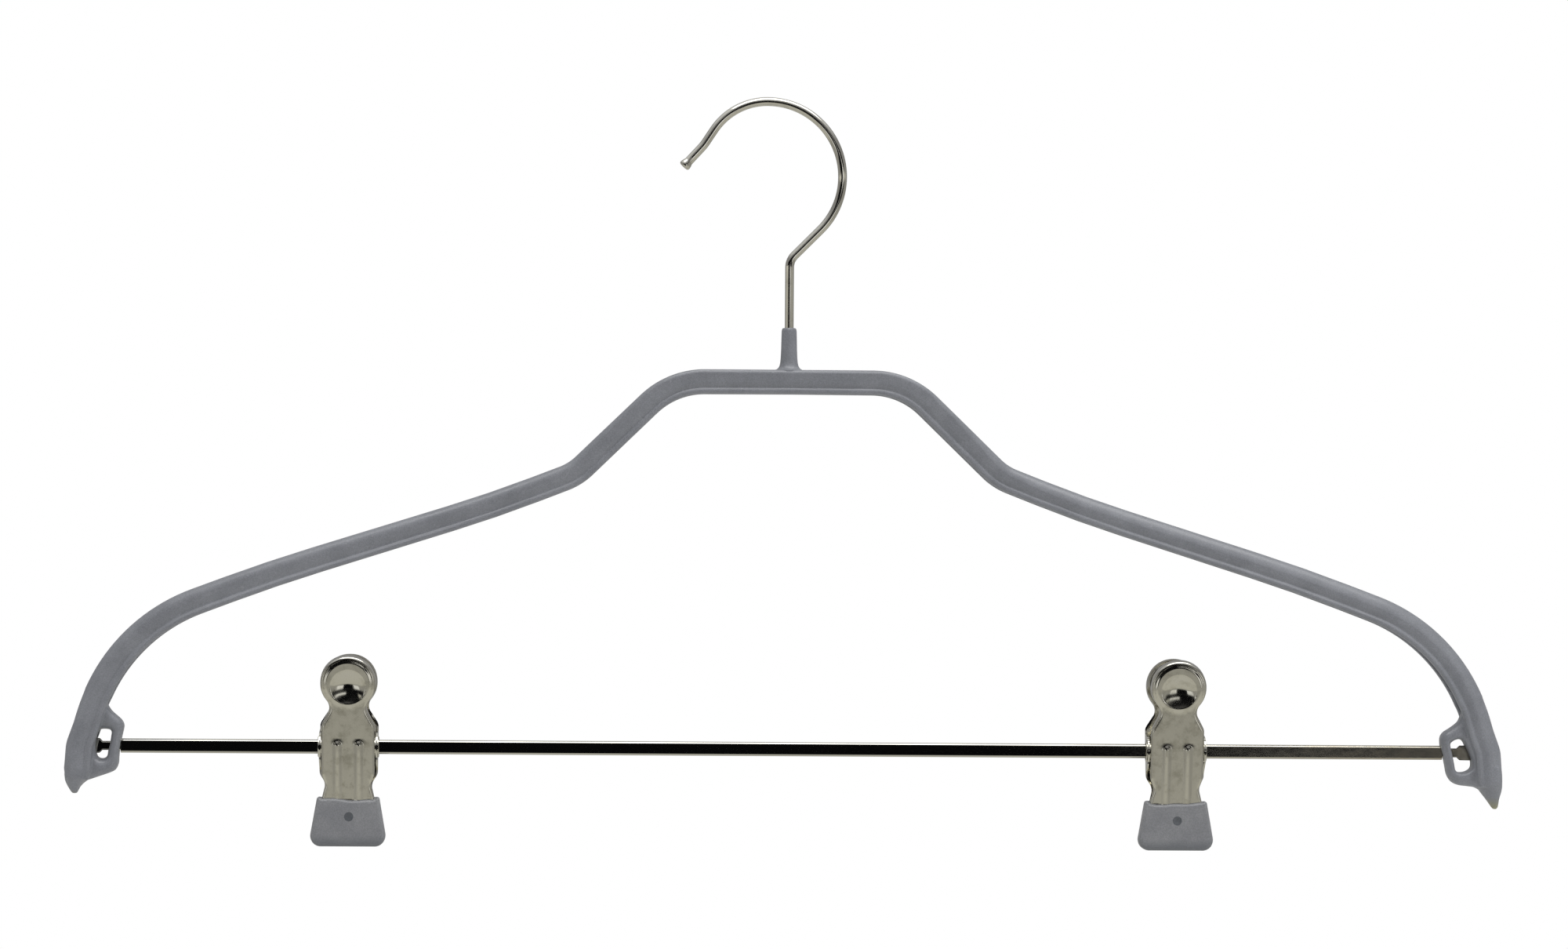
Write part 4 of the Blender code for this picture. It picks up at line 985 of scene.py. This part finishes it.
def stood_up(across, along, out):
    """Carry a point of the plate's own face to the clip's frame."""
    bend = lower_bend()
    if along < bend:
        below = bend - along
        along = bend - below * math.cos(TILT)
        out += below * math.sin(TILT)
    lean, rise = math.sin(TILT), math.cos(TILT)
    return Vector((across, -out * rise - along * lean, along * rise - out * lean))


def inside(point, loop):
    """Whether the point lies within the loop, by the edges crossed to one side of it."""
    crossings = 0
    for a, b in zip(loop, loop[1:] + loop[:1]):
        if (a[1] > point[1]) != (b[1] > point[1]):
            if point[0] < a[0] + (point[1] - a[1]) * (b[0] - a[0]) / (b[1] - a[1]):
                crossings += 1
    return crossings % 2 == 1


def whole_loop(half):
    """The closed outline from its right half."""
    left = [Vector((-p.x, p.y)) for p in reversed(half[1:-1])]
    return [p.copy() for p in half] + left


def stamped_face(name, front):
    """The pressed sheet: a flat face inside, its rim rolled back all round."""
    loop = whole_loop(silhouette(front))
    inset = SHEET / 2
    rims = [(p, n, *rim_at(p.y)) for p, n in zip(loop, line_normals(loop, closed=True))]
    rings = [[(p - n * inset, r + s * back) for p, n, r, s in rims] for back in (1.0, 0.5)]
    for k in range(RIM_STEPS + 1):
        angle = math.pi / 2 * (1 - k / RIM_STEPS)
        into, drop = 1 - math.sin(angle), 1 - math.cos(angle)
        rings.append([(p - n * (inset + into * r), drop * r) for p, n, r, s in rims])

    def pressed(p, back=0.0):
        return stood_up(p.x, p.y, PLATE_MIDDLE + relief(p.x, p.y) - back)

    shape = bmesh.new()
    levels = [[shape.verts.new(pressed(p, back)) for p, back in ring] for ring in rings]
    bridged(shape, levels)
    edge = [p for p, back in rings[-1]]
    points = []
    for share in DISH_RINGS:
        count = 72 if share > 0.45 else 36
        points += arc((0.0, DISH_UP), DISH_RADIUS * share, 0.0, TURN, count)[:-1]
    for share in DISC_RINGS:
        ring = arc((0.0, HEAD_UP), DISC_RADIUS + DISC_STEP * share, 0.0, TURN, 84)[:-1]
        points += [p for p in ring if inside(p, edge)]
    for side in (-1, 1):
        for share in RIB_RINGS:
            for p in arc((0.0, 0.0), RIB_HALF * share, 0.0, math.pi, 16):
                points.append(Vector((side * RIB_APART + p.x, RIB_BASE + p.y * RIB_STRETCH)))
            for k in range(1, 27):
                low = RIB_BASE - k * 0.8 * MM
                points += [Vector((side * RIB_APART + way * RIB_HALF * share, low)) for way in (-1, 1)]
    for x, z in lattice((-8.0 * MM, -18.6 * MM), (8.0 * MM, 28 * MM), 0.9 * MM):
        near_dish = math.hypot(x, z - HEAD_UP) < DISC_RADIUS + DISC_STEP + 0.3 * MM
        near_rib = abs(abs(x) - RIB_APART) < RIB_HALF + 0.2 * MM and z < RIB_TOP + 0.3 * MM
        if not near_dish and not near_rib:
            points.append(Vector((x, z)))
    filled(shape, edge, levels[-1], points, pressed)
    bmesh.ops.recalc_face_normals(shape, faces=shape.faces)
    mesh = bpy.data.meshes.new(name)
    shape.to_mesh(mesh)
    shape.free()
    mesh.shade_smooth()
    sheet = shown(name, mesh)
    wall = sheet.modifiers.new("sheet", "SOLIDIFY")
    wall.thickness = SHEET * 0.96
    wall.offset = 0.0
    wall.use_quality_normals = True
    return plain_mesh(sheet, name)


def ear_mesh(name, front, side):
    """One ear: a flat lug behind the face's side, with its hole round the tube."""
    out = EAR_OUT[0 if front else 1] - SHEET / 2
    # The lug widens from a round end to the face that it is folded from
    lug = arc((0.0, 0.0), EAR_RADIUS, -EAR_TANGENT, EAR_TANGENT, 24)
    for root, high in ((0.7 * MM, 6.1 * MM), (0.0, 6.3 * MM), (0.0, -6.3 * MM), (0.7 * MM, -6.1 * MM)):
        lug.append(Vector((root - PLATE_MIDDLE * 0.93, high)))
    middle = Vector((0.0, 0.0))
    outer = by_angle(lug, middle, EAR_SIDES)
    inner = by_angle([Vector(p) for p in circle(EAR_HOLE, EAR_SIDES)], middle, EAR_SIDES)
    rings = []
    for loop, shift in ((inner, -1), (outer, -1), (outer, 1), (inner, 1), (inner, -1)):
        # Across the lug, p.x runs back from the face and p.y up along it
        rings.append([stood_up(side * (out + shift * SHEET / 2), p.y, -p.x) for p in loop])
    return skin(name, rings, 35.0, caps=False)


def tube_mesh(name, place):
    """Pivot tube, its ends rolled out over the outer ears."""
    rings = []
    for radius, along in TUBE_END + tuple((radius, -along) for radius, along in reversed(TUBE_END)):
        rings.append([place + Vector((along * MM, y, z)) for y, z in circle(radius * MM, 40)])
    return skin(name, rings + rings[:1], 35.0, caps=False)


def grip_outline():
    """Half the grip's outline from the top's middle to the foot's middle."""
    corners = (
        (GRIP_TOP_HALF, 0.15 * MM - GRIP_TOP, 0.9 * MM),
        (10.95 * MM, -25.9 * MM, 3.2 * MM),
        (10.1 * MM, -GRIP_BOTTOM, 3.0 * MM),
    )
    side = bent_line((0.0, -GRIP_TOP), corners, (0.0, -GRIP_BOTTOM), math.radians(6))
    return evenly(side, 0.8 * MM)


def dip_edge(across, sag):
    """How far the vinyl's top edge sags below the grip's corners."""
    share = across / GRIP_TOP_HALF
    hollow = eased((1.0 - abs(share)) / 0.16)
    wave = 0.62 + 0.26 * math.sin(2.3 * share + sag) + 0.14 * math.sin(6.1 * share + 2 * sag)
    return hollow * wave * MM


def grip_mesh(name, sag):
    """Vinyl dipped over the jaw: round edges, a wavy top edge and a dimple in the face."""
    back = GRIP_BACK_ROUND
    levels = [(back, -GRIP_BACK), (back * 0.3, -GRIP_BACK - back * 0.3), (0.0, -GRIP_BACK - back)]
    for k in range(GRIP_STEPS + 1):
        angle = math.pi / 2 * k / GRIP_STEPS
        rise = GRIP_ROUND * (1 - math.sin(angle))
        levels.append((GRIP_ROUND * (1 - math.cos(angle)), -GRIP_FRONT + rise))
    base = whole_loop(grip_outline())
    normals = line_normals(base, closed=True)
    shape = bmesh.new()
    loops = []
    for inset, y in levels:
        front_share = min(1.0, (-y - GRIP_BACK) / (GRIP_FRONT - GRIP_BACK) * 1.6)
        flat = []
        for p, n in zip(base, normals):
            q = p - n * inset
            near_top = eased((q.y + 20.0 * MM) / (5.4 * MM))
            flat.append(Vector((q.x, q.y - dip_edge(q.x, sag) * near_top * front_share)))
        loops.append([shape.verts.new((q.x, y, q.y)) for q in flat])
    bridged(shape, loops)
    shape.faces.new(loops[0])
    dimple = Vector(DIMPLE_PLACE)
    points = []
    for share in (1.0, 0.9, 0.75, 0.55, 0.3):
        points += arc(dimple, DIMPLE_RADIUS * share, 0.0, TURN, 24)[:-1]
    for place in lattice((-10.4 * MM, -28.0 * MM), (10.4 * MM, -15.0 * MM), 1.0 * MM):
        if (Vector(place) - dimple).length > DIMPLE_RADIUS * 1.2:
            points.append(Vector(place))

    def pressed(place):
        dent = DIMPLE_DEPTH * (1 - eased((place - dimple).length / DIMPLE_RADIUS))
        return place.x, -GRIP_FRONT + dent, place.y

    for face, middle in filled(shape, flat, loops[-1], points, pressed):
        # Faces in the dimple take the darker vinyl, painted shade of the dent
        face.material_index = int((middle - dimple).length < DIMPLE_RADIUS * 0.9)
    return finished(name, shape, 50.0)


def dressed(name, mesh, material, body, slot, *nodes):
    """Show a finished piece and let it ride its body in place of the plain nodes."""
    obj = shown(name, mesh, material)
    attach(obj, body)
    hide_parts(*nodes)


def dress_clip(side, finishes, tree, sag):
    """Both jaws, the spring and the tube of one clip."""
    place = Vector(joints[side + "_clip_open"]["pos_m"])
    start = side + "_clip_"
    sheet = finishes["sheet"]
    tube = tube_mesh(start + "tube", place)
    dressed(start + "tube", tube, sheet, side + "_slider", "plated_sheet", start + "pivot_tube")
    for jaw, turn in (("front", 0.0), ("rear", math.pi)):
        front = jaw == "front"
        spin = Matrix.Rotation(turn, 4, "Z")
        body = side + "_" + jaw + "_jaw"
        piece = start + jaw
        meshes = [stamped_face(piece + "_face", front)]
        meshes += [ear_mesh(piece + "_ear", front, way) for way in (-1, 1)]
        plate = placed(joined(piece + "_stamping", meshes, 35.0), spin, place)
        dressed(piece + "_stamping", plate, sheet, body, "plated_sheet", piece + "_plate")
        vinyl = placed(grip_mesh(piece + "_vinyl", sag), spin, place)
        for finish in ("grip", "dimple"):
            vinyl.materials.append(finishes[finish])
        dressed(piece + "_vinyl", vinyl, None, body, "dipped_vinyl", piece + "_grip")
    name = start + "torsion_wire"
    wire = wire_mesh(name, tree, spring_line(place), SPRING_WIRE / 2, 14, finishes["spring"])
    spring = shown(name, wire)
    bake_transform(spring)
    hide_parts(start + "spring")


def dress_frame(finishes):
    """The vinyl over the shoulders, the bar, and the steel inside."""
    meshes = [channel_mesh("dipped_channel"), stub_mesh("dipped_stub")]
    meshes += [end_mesh("dipped_end_left", -1), end_mesh("dipped_end_right", 1)]
    level = Matrix.Identity(4)
    coat = placed(joined("dipped_shoulders", meshes, 50.0), level, SEAT)
    dressed("dipped_shoulders", coat, finishes["coat"], "frame", "dipped_vinyl", "frame_coating")
    bar = bar_mesh("polished_bar")
    dressed("polished_bar", bar, finishes["bar"], "frame", "plated_bar", "clip_bar")
    for way, side in (("left", -1), ("right", 1)):
        strip = placed(bracket_mesh("bracket_strip_" + way, side), level, SEAT)
        node = "end_bracket_" + way
        dressed("bracket_strip_" + way, strip, finishes["steel"], "frame", "bare_steel", node)
    for name in ("shoulder_channel", "hook_sleeve"):
        for slot in frame["nodes"][name].material_slots:
            slot.material = finishes["steel"]


def dress_hook(finishes, tree):
    """The turning wire hook."""
    mesh = wire_mesh("hook_wire", tree, hook_line(), WIRE_RADIUS, 40, finishes["wire"])
    mesh.set_sharp_from_angle(angle=math.radians(50))
    dressed("hook_wire", mesh, None, "hook", "plated_wire", "hook")


# Stage, light and camera

WHITE = (1.0, 1.0, 1.0, 1.0)
# What matt things see all round: a linear grey
SOFT_ROOM = (0.38, 0.38, 0.385, 1.0)
# What metal sees, from straight down to straight up
ROOM_TONES = (
    (0.00, "#CBCAC5"), (0.335, "#C8C7BF"), (0.36, "#A5A49F"), (0.66, "#97979A"), (0.74, "#D9DBDE"),
    (1.00, "#FFFFFF"),
)
# Panels in front of the object: middle and half size across, the same upwards, soft edge, in
# degrees, and tone
PANELS = (
    (-4.0, 52.0, 5.0, 13.0, 5.0, "#0B0B0D"),
    (0.0, 25.0, -15.0, 9.0, 2.5, "#0B0B0D"),
    (26.0, 11.0, -15.0, 7.0, 3.0, "#FFFFFF"),
    (-66.0, 32.0, 4.3, 2.0, 1.5, "#E4E2DA"),
    (19.0, 15.0, 4.3, 2.0, 1.5, "#FFFFFF"),
    (62.0, 27.0, 4.3, 2.0, 1.5, "#C6C5BE"),
    (-33.0, 9.0, -15.5, 7.0, 3.0, "#F4F5F5"),
)
FLOOR_Z = -0.62
FLOOR_HALF = 5.0
# Camera fitted to the photo: its turns are about Z, X and Z again, in degrees
CAMERA_LENS = 129.12
CAMERA_PLACE = (AXIS_X - 58.5 * MM, -1.64, BAR_Z + 58.3 * MM)
CAMERA_TURNS = (-2.00, 90.76, 0.39)


def sight_paths(tree):
    """The light path's outputs, and 1 for what the camera sees straight or through something."""
    light = add_node(tree, "ShaderNodeLightPath").outputs
    links = {0: light["Is Camera Ray"], 1: light["Is Transmission Ray"]}
    return light, add_node(tree, "ShaderNodeMath", None, links, operation="MAXIMUM").outputs[0]


def studio_world():
    """White to the eye; to metal a room: a dark front, bright panels, a light above, a pale floor."""
    world = bpy.data.worlds.new("studio")
    bpy.context.scene.world = world
    world.use_nodes = True
    tree = world.node_tree
    tree.nodes.clear()
    way = add_node(tree, "ShaderNodeTexCoord").outputs["Generated"]
    part = add_node(tree, "ShaderNodeSeparateXYZ", links={"Vector": way}).outputs
    ahead = add_node(tree, "ShaderNodeMath", {1: -1.0}, {0: part["Y"]}, operation="MULTIPLY").outputs[0]
    links = {0: part["X"], 1: ahead}
    across = add_node(tree, "ShaderNodeMath", None, links, operation="ARCTAN2").outputs[0]
    up = add_node(tree, "ShaderNodeMath", None, {0: part["Z"]}, operation="ARCSINE").outputs[0]
    ranges = {"From Min": -math.pi / 2, "From Max": math.pi / 2}
    level = add_node(tree, "ShaderNodeMapRange", ranges, {"Value": up}).outputs["Result"]
    room = add_node(tree, "ShaderNodeValToRGB", None, {"Fac": level}, ROOM_TONES).outputs["Color"]
    for middle, half, high, tall, soft, code in PANELS:
        masks = []
        for angle, centre, reach in ((across, middle, half), (up, high, tall)):
            values = {1: math.radians(centre)}
            off = add_node(tree, "ShaderNodeMath", values, {0: angle}, operation="SUBTRACT").outputs[0]
            off = add_node(tree, "ShaderNodeMath", None, {0: off}, operation="ABSOLUTE").outputs[0]
            ranges = {
                "From Min": math.radians(reach + soft / 2),
                "From Max": math.radians(reach - soft / 2),
            }
            masks.append(add_node(tree, "ShaderNodeMapRange", ranges, {"Value": off}).outputs["Result"])
        links = {0: masks[0], 1: masks[1]}
        mask = add_node(tree, "ShaderNodeMath", None, links, operation="MULTIPLY").outputs[0]
        values = {7: hex_linear(code)}
        room = add_node(tree, "ShaderNodeMix", values, {0: mask, 6: room}, data_type="RGBA").outputs[2]
    light, sight = sight_paths(tree)
    links = {0: light["Is Glossy Ray"], 7: room}
    soft_room = add_node(tree, "ShaderNodeMix", {6: SOFT_ROOM}, links, data_type="RGBA").outputs[2]
    links = {0: sight, 6: soft_room}
    seen = add_node(tree, "ShaderNodeMix", {7: WHITE}, links, data_type="RGBA").outputs[2]
    shade = add_node(tree, "ShaderNodeBackground", {"Strength": 1.0}, {"Color": seen})
    add_node(tree, "ShaderNodeOutputWorld", links={"Surface": shade.outputs["Background"]})


def pale_floor():
    """A matt white floor that reads as white paper and still takes the shadow."""
    material = bpy.data.materials.new("matt_white_floor")
    material.use_nodes = True
    tree = material.node_tree
    tree.nodes.clear()
    matt = add_node(tree, "ShaderNodeBsdfDiffuse", {"Color": hex_linear("#EDEDEB")})
    # To the eye most of the white is the floor's own, and the rest is left for the shadow to take
    shaded = add_node(tree, "ShaderNodeBsdfDiffuse", {"Color": hex_linear("#A0A0A0")})
    white = add_node(tree, "ShaderNodeEmission", {"Color": WHITE, "Strength": 0.84})
    paper = add_node(tree, "ShaderNodeAddShader", None, {0: shaded.outputs[0], 1: white.outputs[0]})
    links = {0: sight_paths(tree)[1], 1: matt.outputs[0], 2: paper.outputs[0]}
    both = add_node(tree, "ShaderNodeMixShader", None, links)
    add_node(tree, "ShaderNodeOutputMaterial", links={"Surface": both.outputs[0]})
    mesh = bpy.data.meshes.new("floor")
    signs = ((-1, -1), (1, -1), (1, 1), (-1, 1))
    corners = [(x * FLOOR_HALF, y * FLOOR_HALF, FLOOR_Z) for x, y in signs]
    mesh.from_pydata(corners, [], [(0, 1, 2, 3)])
    floor = shown("floor", mesh, material)
    # Metal sees the room's own pale floor, which the world holds
    floor.visible_glossy = False


def soft_light(name, place, size, power):
    """A white lamp aimed at the hanger."""
    data = bpy.data.lights.new(name, "AREA")
    data.shape = "RECTANGLE"
    data.size, data.size_y = size
    data.energy = power
    lamp = bpy.data.objects.new(name, data)
    bpy.context.scene.collection.objects.link(lamp)
    lamp.location = place
    aim = Vector((AXIS_X, 0.0, BAR_Z / 2)) - Vector(place)
    lamp.rotation_euler = aim.to_track_quat("-Z", "Y").to_euler()
    return lamp


def photo_camera():
    """The photo's own view."""
    data = bpy.data.cameras.new("photo_camera")
    data.sensor_width = 36.0
    data.lens = CAMERA_LENS
    data.clip_start = 0.05
    data.clip_end = 50.0
    camera = bpy.data.objects.new("photo_camera", data)
    bpy.context.scene.collection.objects.link(camera)
    camera.location = CAMERA_PLACE
    turn = Matrix.Identity(4)
    for angle, axis in zip(CAMERA_TURNS, "ZXZ"):
        turn = turn @ Matrix.Rotation(math.radians(angle), 4, axis)
    camera.rotation_euler = turn.to_euler()
    bpy.context.scene.camera = camera


def dress_hanger():
    """Make every finish and put it on its pieces."""
    finishes = {
        "coat": dipped_vinyl(
            "dipped_grey_vinyl", "#84868B", "#7D7F84", "#A3A5A9", (-13.0 * MM, -16.2 * MM, "#86846A")
        ),
        "grip": dipped_vinyl(
            "dipped_grip_vinyl", "#8A8B8D", "#828386", "#AAABAD", (-25.5 * MM, -28.9 * MM, "#5E6165")
        ),
        # Darker vinyl for the dimple: painted shade of the dent
        "dimple": dipped_vinyl("dipped_vinyl_over_a_hole", "#5F6266", "#575A5E", "#7A7D81"),
        "sheet": plated_metal(
            "nickel_plated_sheet", "#CFCCC0", "#A6A292", 0.09, 0.10, 0.5, (1.0, 1.0, 0.3), 0.012 * MM
        ),
        "wire": plated_metal(
            "nickel_plated_wire", "#D2CFC4", "#B7B3A6", 0.10, 0.03, 0.4, (1.0, 1.0, 0.25), 0.004 * MM
        ),
        "bar": polished_bar(),
        "steel": rolled_steel("cold_rolled_steel", "#8C8C8C", 0.42, 3 * MM),
        "spring": rolled_steel("oil_tempered_spring_wire", "#5E5A55", 0.30, 2 * MM),
    }
    tree = wire_tree("wire_along_a_line")
    dress_frame(finishes)
    dress_hook(finishes, tree)
    dress_clip("left", finishes, tree, 0.4)
    dress_clip("right", finishes, tree, 2.6)


dress_hanger()
studio_world()
pale_floor()
soft_light("overhead_softbox", (AXIS_X + 0.15, -0.45, 1.5), (2.0, 1.0), 21.0)
for lamp in (
    soft_light("left_softbox", (-1.6, -0.9, 0.3), (0.5, 1.6), 7.0),
    soft_light("right_softbox", (1.6, -0.9, 0.3), (0.5, 1.6), 13.0),
    soft_light("back_softbox", (0.0, 1.9, 0.5), (2.0, 1.2), 20.0),
):
    lamp.visible_glossy = False
photo_camera()
bpy.context.scene.view_settings.view_transform = "Standard"
